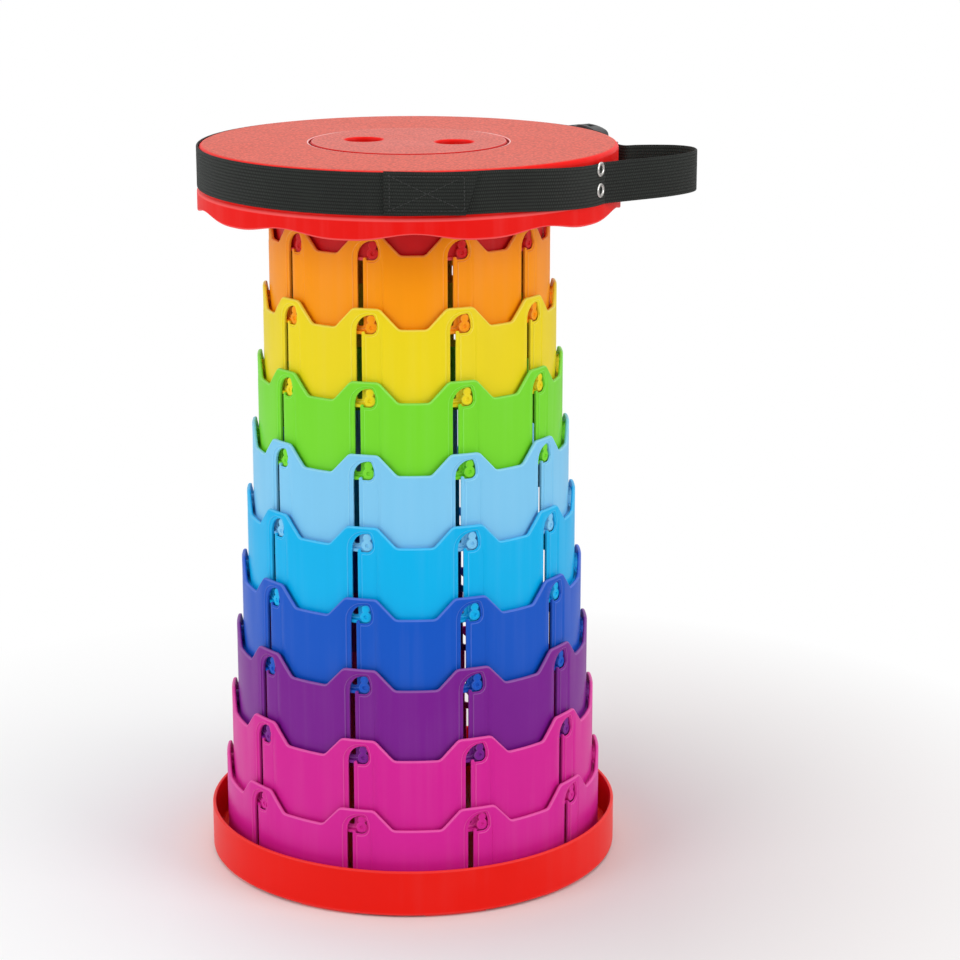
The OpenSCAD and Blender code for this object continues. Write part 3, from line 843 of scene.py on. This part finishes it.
# %% Turning a profile
def painted_highlight_corners(line):
    """1 where a closed anticlockwise outline rounds an outer corner, for a painted highlight, else 0.
    """
    before, after = line - np.roll(line, 1, 0), np.roll(line, -1, 0) - line
    turn = before[:, 0] * after[:, 1] - before[:, 1] * after[:, 0]
    short = np.minimum(np.linalg.norm(before, axis=1), np.linalg.norm(after, axis=1))
    return ((turn > 0) & (short < 1.0)).astype(float)


def spaced(line, margin=0.5):
    """The closed line with a point near each end of long stretches, so the painted highlight stays at
    corners.
    """
    made = []
    for a, b in zip(line, np.roll(line, -1, 0)):
        length = np.linalg.norm(b - a)
        near = (margin / length, 1 - margin / length) if length > 2 else ()
        made += [a, *[a + (b - a) * t for t in near]]
    return np.array(made)


def turned(profile, steps=180, x=0.0, y=0.0):
    """A closed (r, z) profile, run anticlockwise, turned about an upright axis at x, y."""
    profile = spaced(profile)
    n = len(profile)
    t = np.arange(steps) * 2 * math.pi / steps
    r, z = profile.T
    verts = np.stack([x + np.outer(np.sin(t), r), y - np.outer(np.cos(t), r),
                      np.tile(z, (steps, 1))], -1)
    faces = []
    for i in range(steps):
        a, b = i * n, (i + 1) % steps * n
        faces += [(a + j, b + j, b + (j + 1) % n, a + (j + 1) % n) for j in range(n)]
    return verts.reshape(-1, 3), faces, np.tile(painted_highlight_corners(profile), steps)


def placed(part, place):
    """The part moved by a 4 x 4 matrix in millimetres."""
    verts, faces, painted_light = part
    m = np.array(place)
    return verts @ m[:3, :3].T + m[:3, 3], faces, painted_light


def in_one(name, *pieces):
    """Several mesh objects as one, with their materials."""
    with bpy.context.temp_override(active_object=pieces[0], selected_editable_objects=list(pieces)):
        bpy.ops.object.join()
    pieces[0].name = pieces[0].data.name = name
    return pieces[0]


washer = turned(rounded([(3, 0, 0), (5, 0, 0), (5, 1, 0), (3, 1, 0)]))
print("a turned washer:", len(washer[1]), "faces")

# %% [markdown]
# ## Smallest ring
# The red ring hangs from the seat, so it needs no arches: it is a plain tube with the same
# pins at its foot, and a lip inside its top edge that snaps over the seat's collar. A turned
# profile makes the tube, and the ring tree sets the pins.

# %% Smallest ring
CLIP_OUT = 1.6
CLIP_H = 2.0
SEAT_T = 3.0
PLATE_Z = SEAT_TOP - SEAT_T
R1 = ring_radius(1)
R1_IN = R1 - RING_WALL
FOOT_1 = span_z("ring_01")[0]

tube = turned(rounded([
    (R1_IN, FOOT_1, 0.4), (R1 + FLANGE, FOOT_1, 0.4), (R1 + FLANGE, FOOT_1 + FLANGE_H, 0.4),
    (R1, FOOT_1 + FLANGE_H, 0.3), (R1, PLATE_Z, 0.4), (R1_IN - CLIP_OUT, PLATE_Z, 0.3),
    (R1_IN - CLIP_OUT, PLATE_Z - CLIP_H, 0.6), (R1_IN, PLATE_Z - CLIP_H, 0.3)], steps=3))
pins = moulded_ring("pins", pin(), FOOT_1, R1, "red")
ring_1 = in_one("moulded_ring_01", mesh_object("tube", tube, plastic["red"]), pins)
dress(ring_1, "seat", "ring_01")

# %% [markdown]
# ## Seat
# The seat is one moulding: a flat plate with a shallow recess for the centre cap, a side
# wall where the belt lies, and a hem that stands out a little and ends in ten gentle waves.
# Below the plate are the collar for the smallest ring and ribs that run out to it. All of it
# but the waves is round, so it is turned first, and a lift of the hem's points makes the
# waves afterwards.

# %% Seat shell
SEAT_R = RING_R + 7.7
HEM_R = SEAT_R + 1.6
SEAT_WALL = 2.2
SIDE_Z = SEAT_TOP - 26.0  # where the side wall meets the hem
HEM_TOP = SIDE_Z - 2.6
WAVE_H = 4.0
CAP_R = 59.6
CAP_GROOVE = 0.8
CAP_T = 1.5
PLUG_R = 51.6
WELL_R = PLUG_R + RUN_GAP
RIB_T = 2.0
RIB_H = 6.0
COLLAR_R = R1_IN - CLIP_OUT - RUN_GAP
CLIP_Z = PLATE_Z - CLIP_H - RUN_GAP
RECESS_R, RECESS_Z = CAP_R + CAP_GROOVE, SEAT_TOP - CAP_T
WELL_Z = PLATE_Z - RIB_H - RIB_T

seat_profile = rounded([
    (HEM_R - SEAT_WALL, SEAT_LOW, 0.6), (HEM_R, SEAT_LOW, 0.8), (HEM_R, SIDE_Z - 1.6, 1.2),
    (SEAT_R, SIDE_Z, 1.0), (SEAT_R, SEAT_TOP, 3.0), (RECESS_R, SEAT_TOP, 0.8),
    (RECESS_R, RECESS_Z, 0), (WELL_R, RECESS_Z, 0.3), (WELL_R, WELL_Z, 0.4),
    (WELL_R + RIB_T, WELL_Z, 0.4), (WELL_R + RIB_T, PLATE_Z, 0.8),
    (COLLAR_R - RIB_T, PLATE_Z, 0.8), (COLLAR_R - RIB_T, CLIP_Z - CLIP_H, 0.4),
    (R1_IN - RUN_GAP, CLIP_Z - CLIP_H, 0.5), (R1_IN - RUN_GAP, CLIP_Z, 0.2),
    (COLLAR_R, CLIP_Z, 0.1), (COLLAR_R, PLATE_Z, 0.6), (SEAT_R - SEAT_WALL, PLATE_Z, 1.5),
    (SEAT_R - SEAT_WALL, SIDE_Z - 1, 1.0), (HEM_R - SEAT_WALL, HEM_TOP, 1.0)], steps=5)
print("seat radius", SEAT_R, "mm, hem radius", HEM_R, "mm")


# %% Waves and ribs
def waved(verts):
    """Lifts the hem's lower edge in one wave to each panel; higher points move less."""
    turn = np.degrees(np.arctan2(verts[:, 0], -verts[:, 1])) - PANEL_TURN
    wave = WAVE_H * (0.5 + 0.5 * np.cos(np.radians(turn * PANELS))) ** 1.5
    share = np.clip(1 - (verts[:, 2] - SEAT_LOW) / (HEM_TOP - SEAT_LOW), 0, 1)
    outer = np.hypot(verts[:, 0], verts[:, 1]) > SEAT_R - 4
    return verts + np.outer(np.where(outer, wave * share, 0), [0, 0, 1])


def spin(degrees, axis="Z"):
    return Matrix.Rotation(math.radians(degrees), 4, axis)


def rib():
    """One rib on edge between the well and the collar, as a relief seen from its side."""
    outline = rounded([(WELL_R + 1, PLATE_Z + 0.3, 0), (WELL_R + 1, PLATE_Z - RIB_H, 0.5),
                       (COLLAR_R - 1, PLATE_Z - RIB_H, 0.5), (COLLAR_R - 1, PLATE_Z + 0.3, 0)], steps=3)
    # Its rounded edges get a painted highlight.
    part = relief(edge_lines(outline, 0.4, 0.4, steps=2), lambda p: inside(outline, p), RIB_T)
    return placed(part, spin(-90) @ Matrix.Translation((0, -RIB_T / 2, 0)))


ribs = with_tree("ribs", mesh_object("rib", rib()), round_row, Copies=PANELS,
                 Turn=math.radians(PANEL_TURN), Step=STEP, Material=seat_plastic)
verts, faces, painted_light = turned(seat_profile, steps=240)
reach = np.hypot(verts[:, 0], verts[:, 1])
painted_light[(reach > SEAT_R - 4) & (verts[:, 2] > SEAT_TOP - 4)] = 0  # the wide rounding gets no painted highlight
painted_light[(np.abs(reach - CAP_R) < 1.5) & (verts[:, 2] < SEAT_TOP - 0.3)] = -1  # painted shade in the cap's groove
seat = in_one("moulded_seat", mesh_object("shell", (waved(verts), faces, painted_light), seat_plastic), ribs)
dress(seat, "seat", "seat_top")

# %% [markdown]
# ## Centre cap
# A round plate with two finger holes closes the middle of the seat. It lies in the recess,
# stands a little proud, leaves a groove with painted shade round it; a plug below it fills the well.
# The plate has holes off its axis, so it can't be turned: it is a relief laid flat, and only
# the plug and the holes' wells are turned.

# %% Centre cap
FINGER_R = 11.25
FINGER_GAP = 56.0
FINGER_TURN = -12.7
FINGER_D = 14.0
PLUG_H = 9.0
WELL_IN = FINGER_R + 0.05  # just behind the hole's own wall
CAP_PROUD = 0.5  # the cap's face stands this much above the seat
CAP_EDGE, HOLE_EDGE = 1.0, 1.7  # roundings
finger_x = FINGER_GAP / 2 * math.cos(math.radians(FINGER_TURN))
finger_y = FINGER_GAP / 2 * math.sin(math.radians(FINGER_TURN))
centres = [(side * finger_x, side * finger_y) for side in (-1, 1)]
rim = circle(CAP_R - 0.3, steps=180)
holes = [circle(FINGER_R, x, y, 64)[::-1] for x, y in centres]
rows = [(np.array([[-CAP_R - 1, y], [CAP_R + 1, y]]), False) for y in np.linspace(-54, 54, 13)]
# The rim's rounding gets painted shade where it drops into the groove, and a line just inside it a
# painted highlight.
cap_lines = edge_lines(rim, CAP_EDGE, 0.3, painted_edge_light=-0.5)[:-1] + rows
for inset, painted_light in ((CAP_EDGE, 0.3), (CAP_EDGE + 0.5, 0.0)):
    cap_lines.append((shifted(rim, inset), True, 0.0, 0.3, painted_light))
for hole in holes:
    cap_lines += edge_lines(hole, HOLE_EDGE, 0.01, steps=4, painted_edge_light=0.0)


def in_cap(p):
    return inside(rim, p) & ~inside(holes[0], p) & ~inside(holes[1], p)


def tube_profile(r0, r1, depth, edges, steps):
    """A tube's profile, from a depth below the seat up into the plate."""
    low, high = SEAT_TOP - depth, SEAT_TOP - 1.2
    return rounded([(r0, low, edges[0]), (r1, low, edges[1]), (r1, high, 0), (r0, high, 0)], steps)


face_up = Matrix.Translation((0, 0, SEAT_TOP + CAP_PROUD)) @ spin(-90, "X")
disc = placed(relief(cap_lines, in_cap, CAP_T + CAP_PROUD), face_up)
plug = turned(tube_profile(PLUG_R - RIB_T, PLUG_R, PLUG_H, (0.4, 0.6), 3), 144)
well = tube_profile(WELL_IN, FINGER_R + RIB_T, FINGER_D, (0.6, 0.6), 4)
wells = [turned(well, 64, x, y) for x, y in centres]
cap = mesh_object("centre_cap_moulding", joined(disc, plug, *wells), cap_plastic)
dress(cap, "seat", "centre_cap")

# %% [markdown]
# ## Base tray
# The tray has a thin upright rim, a collar whose lip snaps over the flange of the largest
# ring, and feet moulded in a circle under the floor. The tray is turned, as the seat is.
# One foot is an arc-shaped plate with a soft lower edge, which the tree repeats, because an
# array round the axis by hand would need an empty and a turn for each copy.

# %% Base tray
BASE_R = HEM_R + 0.5
BASE_WALL = 2.05
BASE_H = span_z("base_tray")[1]
FOOT_H = 1.0
FOOT_ARC = 17.0
FOOT_W = 16.0
FOOT_IN = 2.0
FOOT_TURN = 11.5
R10 = ring_radius(RINGS)
FOOT_ROOT = FOOT_H + 0.5  # feet and pad run a little into the floor
PAD_R = 20.0
TRAY_COLLAR = R10 + FLANGE + RUN_GAP
COLLAR_TOP = RING_FOOT + FLANGE_H + RUN_GAP + CLIP_H

tray = turned(rounded([
    (0, FOOT_H, 0), (BASE_R, FOOT_H, 1.5), (BASE_R, BASE_H, 0.8),
    (BASE_R - BASE_WALL, BASE_H, 0.6), (BASE_R - BASE_WALL, RING_FOOT, 1.0),
    (TRAY_COLLAR + RIB_T, RING_FOOT, 0.5), (TRAY_COLLAR + RIB_T, COLLAR_TOP, 0.4),
    (R10 + RUN_GAP, COLLAR_TOP, 0.6), (R10 + RUN_GAP, COLLAR_TOP - CLIP_H, 0.2),
    (TRAY_COLLAR, COLLAR_TOP - CLIP_H, 0), (TRAY_COLLAR, RING_FOOT, 0.2), (0, RING_FOOT, 0)],
    steps=4), 240)
pad = turned(rounded([(0, 0, 0), (PAD_R, 0, 0.4), (PAD_R, FOOT_ROOT, 0), (0, FOOT_ROOT, 0)],
                     steps=3), 72)
print("tray", BASE_R, "mm in radius and", round(BASE_H, 1), "mm high")


# %% Feet
def foot():
    """One arc-shaped foot at the front, with its face down."""
    turn, far = FOOT_ARC / 2, BASE_R - FOOT_IN
    flat = np.array([(-turn, far - FOOT_W), (turn, far - FOOT_W), (turn, far), (-turn, far)])
    parts = np.arange(12)[:, None] / 12
    steps = np.concatenate([a + (b - a) * parts for a, b in zip(flat, np.roll(flat, -1, 0))])
    angle, r = np.radians(steps[:, 0]), steps[:, 1]
    outline = np.stack([r * np.sin(angle), r * np.cos(angle)], 1)
    # Its soft lower edge gets a painted highlight.
    part = relief(edge_lines(outline, 0.4, 0.01, steps=2), lambda p: inside(outline, p), FOOT_ROOT)
    return placed(part, spin(90, "X"))


feet = with_tree("feet", mesh_object("foot", foot()), round_row, Copies=PANELS,
                 Turn=math.radians(FOOT_TURN), Step=STEP, Material=base_plastic)
verts, faces, painted_light = joined(tray, pad)
# The tray's outer corners get a weaker painted highlight.
base = in_one("moulded_base", mesh_object("tray", (verts, faces, 0.3 * painted_light), base_plastic), feet)
dress(base, "base", "base_tray")

# %% [markdown]
# ## Webbing
# Polypropylene webbing is a thick plain weave: ribs run along it about 2 mm apart and cross
# threads lie between them, half a step apart from rib to rib. Modelled threads would be
# thousands of small tubes, so the weave is two sine waves that set tone and height. They
# follow a UV map that is measured in millimetres along and across the strap, so the pattern
# bends with the strap. The buckle's grain and the eyelets' scuffs are noise alone.

# %% Webbing material
RIB, CROSS = 1.9, 1.3  # millimetres from rib to rib and from cross thread to cross thread


def webbing():
    made, s = new_material("webbing")
    flat = s.node("ShaderNodeUVMap", {"uv_map": "weave"})
    along, across = (s.node("ShaderNodeSeparateXYZ", None, {0: flat}, axis) for axis in "XY")
    row = across / RIB
    odd = row.math("FLOOR", row).math("MODULO", row.math("FLOOR", row), 2.0)
    rib = row.math("ABSOLUTE", row.math("SINE", row * math.pi))
    thread = along / CROSS + odd * 0.5
    cross = thread.math("ABSOLUTE", thread.math("SINE", thread * math.pi))
    place = s.place()
    fibre = s.noise(place, 2600.0)
    cloud = s.noise(place, 60.0, 3.0)
    weave = rib * (0.25 + cross * 0.75)
    # Painted shade darkens the gaps of the weave; fibre and cloud noise vary the tone at random.
    tone = (weave * 0.86 + fibre * 0.2 + (cloud - 0.5) * 0.5).clamped()
    colour = s.mix(tone, linear(10, 11, 10), linear(46, 50, 46))
    height = s.bump(0.9, 0.0004, weave + fibre * 0.25)
    s.output(s.principled(colour, 0.62 + cloud * 0.2, Normal=height, Specular_IOR_Level=0.15,
                          Sheen_Weight=0.06, Sheen_Roughness=0.5))
    return made


webbing_cloth = webbing()
print("weave:", RIB, "mm between ribs,", CROSS, "mm between cross threads")


# %% Buckle and eyelet materials
def buckle_grain():
    made, s = new_material("buckle_plastic")
    place = s.place()
    cloud = s.noise(place, 90.0, 3.0)
    colour = s.mix(cloud, linear(30, 31, 32), linear(50, 52, 53))
    grain = s.bump(0.6, 0.0001, s.noise(place, 1600.0))
    s.output(s.principled(colour, 0.4 + cloud * 0.15, Normal=grain))
    return made


def nickel():
    made, s = new_material("nickel")
    scuff = s.noise(s.place(), 900.0, 4.0)
    colour = s.mix(scuff, linear(176, 174, 168), linear(226, 225, 222))
    fine = s.bump(0.3, 0.00005, scuff)
    s.output(s.principled(colour, 0.16 + scuff * 0.18, Normal=fine, Metallic=1.0))
    return made


buckle_plastic, steel = buckle_grain(), nickel()
print("strap materials:", webbing_cloth.name, buckle_plastic.name, steel.name)

# %% [markdown]
# ## Belt and carry loop
# The strap stands on edge. Its path gives the upper edge, and a rounded section follows it,
# so that both faces and both selvedges are one closed skin. The belt lies on the seat's side
# wall, comes down a little at both ends, and goes out into the carry loop on the right.
# A curve object with a profile would twist and stretch the weave, so the skin is built point
# by point, and each point keeps its distance along the strap for the weave.

# %% Belt's path
WEB_W, WEB_T = 24.5, 1.3
WEB_R = SEAT_R + 0.2 + WEB_T / 2
WEB_TOP = SEAT_TOP - 0.6
WEB_DROP = 4.0  # how far the belt comes down towards the loop
WEB_LIFT = 1.6  # how far it stands off the seat there
LOOP_FRONT, LOOP_REAR = 62.0, 98.0  # the loop's feet, as angles
FALL_FROM = 20.0  # where the belt starts to come down at the front
RISE = 12.0  # angle over which it comes down at the rear
EYELET_IN = 2.0
LOOP_OUT = 46.2
LOOP = [(66.4, 0.16), (71.4, 0.36), (76.3, 0.6), (80.8, 0.81), (84.9, 0.96), (88.7, 1),
        (92.1, 0.95), (94.5, 0.78), (95.6, 0.52), (95.8, 0.28), (95.3, 0.11)]
# each point of LOOP is an angle and a share of LOOP_OUT


def polar(r, turn, z):
    return np.array([r * math.sin(math.radians(turn)), -r * math.cos(math.radians(turn)), z])


def eased(t):
    u = min(max(t, 0.0), 1.0)
    return u * u * (3 - 2 * u)


def belt_point(turn):
    """The belt's upper edge at an angle."""
    front = eased((turn - FALL_FROM) / (LOOP_FRONT - EYELET_IN - FALL_FROM))
    rear = eased((LOOP_REAR - 360 + EYELET_IN + RISE - turn) / RISE)
    fall = max(front, rear)
    return polar(WEB_R + WEB_LIFT * min(1, 2 * fall), turn, WEB_TOP - WEB_DROP * fall)


print("belt's edge at the front", round(belt_point(0)[2], 1), "mm up, at the loop",
      round(belt_point(LOOP_FRONT)[2], 1), "mm up")


# %% Strap
def through(points, parts):
    """A smooth curve through points, with some parts to each stretch."""
    p = np.array([points[0], *points, points[-1]])
    made = []
    for a, b, c, d in zip(p, p[1:], p[2:], p[3:]):
        for t in np.arange(parts) / parts:
            made.append(0.5 * (2 * b + (c - a) * t + (2 * a - 5 * b + 4 * c - d) * t * t
                               + (3 * b - a - 3 * c + d) * t ** 3))
    return np.array([*made, p[-1]])


def strap(name, path):
    """Webbing on edge along the points of its upper edge, with a UV map in millimetres."""
    half, soft = WEB_T / 2, WEB_T * 0.45
    section = rounded([(-half, -WEB_W, soft), (half, -WEB_W, soft), (half, 0, soft),
                       (-half, 0, soft)], steps=4)
    run = np.concatenate([path[1:2] - path[:1], path[2:] - path[:-2], path[-1:] - path[-2:-1]])[:, :2]
    side = np.stack([-run[:, 1], run[:, 0]], 1) / np.linalg.norm(run, axis=1)[:, None]
    n, m = len(section), len(path)
    verts = np.repeat(path, n, 0)
    verts[:, :2] += np.repeat(side, n, 0) * np.tile(-section[:, 0], m)[:, None]
    verts[:, 2] += np.tile(section[:, 1], m)
    faces = [(i * n + j, i * n + (j + 1) % n, (i + 1) * n + (j + 1) % n, (i + 1) * n + j)
             for i in range(m - 1) for j in range(n)]
    faces += [tuple(range(n - 1, -1, -1)), tuple(range((m - 1) * n, m * n))]
    made = mesh_object(name, (verts, faces, np.zeros(len(verts))), webbing_cloth)
    along = np.concatenate([[0], np.cumsum(np.linalg.norm(np.diff(path, axis=0), axis=1))])
    flat = np.stack([np.repeat(along, n), np.tile(-section[:, 1], m)], 1).astype(np.float32)
    corners = [loop.vertex_index for loop in made.data.loops]
    made.data.uv_layers.new(name="weave").data.foreach_set("uv", flat[corners].ravel())
    return made


# %% Belt and loop
belt_turns = np.linspace(LOOP_REAR - 360, LOOP_FRONT, 265)
belt_path = np.array([belt_point(turn) for turn in belt_turns])
dress(strap("webbing_belt", belt_path), "seat", "belt")

outside = [polar(WEB_R + LOOP_OUT * out, turn, WEB_TOP - WEB_DROP) for turn, out in LOOP]
loop_path = through([belt_path[-1], *outside, belt_path[0]], 8)
dress(strap("webbing_carry_loop", loop_path), "seat", "carry_loop")
for name, path in ("belt", belt_path), ("loop", loop_path):
    print(name, round(np.linalg.norm(np.diff(path, axis=0), axis=1).sum()), "mm long")

# %% [markdown]
# ## Sewn overlap
# The belt's end is sewn over its start at the front, with a box of stitches and its two
# diagonals. A seam could be a bump texture, but real stitches stand clear of the cloth and
# catch the light. They are short bars of thread, set along a line by a tree that resamples
# the line and turns each bar along it.

# %% Overlap
LAP_FROM, LAP_TO = -6.4, 17.6
LAP_SLANT = 3.4  # how far the end's lower corner turns back, as an angle
LAP_UP, LAP_SKEW = 0.9, 1.2  # its height above the belt's edge, and how far it comes down
LAP_R = WEB_R + WEB_T + 0.1


def lap_point(t, down=0.0):
    turn = LAP_FROM + (LAP_TO - LAP_FROM) * t
    return polar(LAP_R, turn, WEB_TOP + LAP_UP - LAP_SKEW * t - down)


overlap = strap("webbing_overlap", np.array([lap_point(t) for t in np.linspace(0, 1, 25)]))
for v in overlap.data.vertices:
    turn = math.degrees(math.atan2(v.co.x, -v.co.y))
    share = max(0, (turn - LAP_FROM) / (LAP_TO - LAP_FROM)) ** 4
    back = LAP_SLANT * share * (WEB_TOP - v.co.z / MM) / WEB_W
    v.co = Matrix.Rotation(math.radians(-back), 3, "Z") @ v.co
print("overlap", LAP_TO - LAP_FROM, "degrees long")


# %% Stitch tree
def stitch_tree():
    g = Geometry("stitches")
    line = Expr(g, g.entry.outputs["Geometry"])
    pitch, length, thick = (g.value(name) for name in ("Pitch", "Length", "Thickness"))
    material = g.value("Material", "NodeSocketMaterial")
    curve = g.node("GeometryNodeMeshToCurve", None, {"Mesh": line})
    marks = g.node("GeometryNodeResampleCurve", {"mode": "LENGTH"}, {"Curve": curve, "Length": pitch})
    tangent = g.node("GeometryNodeInputTangent")
    turn = g.node("FunctionNodeAlignRotationToVector", {"axis": "X"}, {"Vector": tangent})
    ball = g.node("GeometryNodeMeshUVSphere", None, {"Segments": 6, "Rings": 4, "Radius": 0.5})
    size = g.node("ShaderNodeCombineXYZ", None, {"X": length, "Y": thick, "Z": thick})
    bars = g.node("GeometryNodeInstanceOnPoints", None,
                  {"Points": marks, "Instance": ball, "Rotation": turn, "Scale": size})
    return g.finish(bars, material)


sewing = stitch_tree()
print("tree:", sewing.name)


# %% Seam
def sewn(corners):
    """Points on the overlap's face along straight seams between (share along, mm down) corners."""
    flat = [np.array(a) + (np.array(b) - np.array(a)) * t
            for a, b in zip(corners, corners[1:]) for t in np.linspace(0, 1, 10)[:-1]]
    made = [lap_point(share, down) for share, down in flat]
    for p in made:
        p[:2] *= (LAP_R + WEB_T / 2) / LAP_R
    return made + [made[0]] if corners[0] == corners[-1] else made


def thread_material():
    made, s = new_material("thread")
    twist = s.noise(s.place(), 3000.0)
    s.output(s.principled(s.mix(twist, linear(20, 22, 21), linear(38, 41, 39)), 0.6))
    return made


SEAM_IN = 2.6  # from the webbing's edges
x0, x1, y0, y1 = 0.06, 0.84, SEAM_IN, WEB_W - SEAM_IN
around = [(x0, y0), (x1, y0), (x1, y1), (x0, y1), (x0, y0)]
seam_points, seam_edges = [], []
for chain in (around, [(x0, y0), (x1, y1)], [(x0, y1), (x1, y0)]):
    first = len(seam_points)
    seam_points += sewn(chain)
    seam_edges += [(i, i + 1) for i in range(first, len(seam_points) - 1)]
line_mesh = bpy.data.meshes.new("seam_line")
line_mesh.from_pydata([tuple(p * MM) for p in seam_points], seam_edges, [])
seam_line = bpy.data.objects.new("seam_line", line_mesh)
scene.collection.objects.link(seam_line)
stitches = with_tree("stitches", seam_line, sewing, Pitch=2.4 * MM, Length=2.0 * MM,
                     Thickness=0.55 * MM, Material=thread_material())
dress(in_one("webbing_overlap", overlap, stitches), "seat", "belt_overlap")
print("seam of", len(seam_edges), "pieces")

# %% [markdown]
# ## Eyelets
# Each foot of the loop is held by two rolled nickel eyelets. An eyelet is round, so it is
# turned about its own axis, barrel and rolled rim in one profile, and laid on the webbing.

# %% Eyelets
EYELET_R, EYELET_BORE, EYELET_T = 4.4, 2.2, 0.9
EYELET_GAP, EYELET_UP = 12.2, 2.7
BARREL = -WEB_T - 0.2  # how deep the barrel goes
rolled = rounded([(EYELET_BORE, BARREL, 0.1), (EYELET_BORE + 0.4, BARREL, 0.1),
                  (EYELET_BORE + 0.5, 0, 0), (EYELET_R, 0, 0.3), (EYELET_R, EYELET_T, 0.75),
                  (EYELET_BORE, EYELET_T, 0.8)], steps=6)


def eyelets(name, node, turn):
    """Two eyelets on the webbing's outer face at an angle."""
    p = belt_point(turn)
    face, middle = math.hypot(p[0], p[1]) + WEB_T / 2, p[2] - WEB_W / 2 + EYELET_UP
    parts = []
    for side in (-1, 1):
        out = Matrix.Translation((0, -face, middle + side * EYELET_GAP / 2))
        parts.append(placed(turned(rolled, 48), spin(turn) @ out @ spin(90, "X")))
    return dress(mesh_object(name, joined(*parts), steel), "seat", node, 50)


eyelets("nickel_front_eyelets", "front_eyelets", LOOP_FRONT - EYELET_IN - 0.9)
eyelets("nickel_rear_eyelets", "rear_eyelets", LOOP_REAR - 360 + EYELET_IN)
print("eyelets", 2 * EYELET_R, "mm across,", EYELET_GAP, "mm apart")

# %% [markdown]
# ## Buckle
# A side-release buckle joins the belt's ends behind the loop. Its prongs, window and bars
# are already right in the construction solids, so its halves are copies of them rather than
# new forms. A moulded buckle has soft edges and gets narrower towards both ends: the copies
# are cut finer, drawn in towards the ends, and bevelled.

# %% Buckle
BUCKLE_Z = sum(span_z("buckle_socket")) / 2
BUCKLE_AT = 123.0
BUCKLE_HALF = 10.0  # angle from its middle to its end
BUCKLE_TALL, BUCKLE_TAPER = 0.86, 0.3  # height in the middle, and how much less at the ends


def softened(name, node, width):
    """A copy of a construction solid with its sharp edges bevelled."""
    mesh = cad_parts[node].data.copy()
    mesh.materials.clear()
    mesh.materials.append(buckle_plastic)
    made = bpy.data.objects.new(name, mesh)
    scene.collection.objects.link(made)
    tidy = bmesh.new()
    tidy.from_mesh(mesh)
    bmesh.ops.remove_doubles(tidy, verts=tidy.verts, dist=1e-6)
    bmesh.ops.dissolve_limit(tidy, angle_limit=math.radians(1), verts=tidy.verts, edges=tidy.edges)
    long = [e for e in tidy.edges if e.calc_length() > 4 * MM]
    bmesh.ops.subdivide_edges(tidy, edges=long, cuts=4)
    bmesh.ops.triangulate(tidy, faces=tidy.faces)
    for v in tidy.verts:
        share = (math.degrees(math.atan2(v.co.x, -v.co.y)) - BUCKLE_AT) / BUCKLE_HALF
        squeeze = BUCKLE_TALL - BUCKLE_TAPER * min(1, abs(share)) ** 2.5
        v.co.z = BUCKLE_Z * MM + (v.co.z - BUCKLE_Z * MM) * squeeze
    tidy.to_mesh(mesh)
    tidy.free()
    bevel = made.modifiers.new("bevel", "BEVEL")
    bevel.width, bevel.segments, bevel.angle_limit = width * MM, 2, math.radians(40)
    bpy.context.view_layer.update()
    graph = bpy.context.evaluated_depsgraph_get()
    made.data = bpy.data.meshes.new_from_object(made.evaluated_get(graph))
    made.modifiers.clear()
    made.data.name = name
    return dress(made, "seat", node, 30)


softened("buckle_socket_moulding", "buckle_socket", 0.6)
softened("buckle_plug_moulding", "buckle_plug", 0.5)
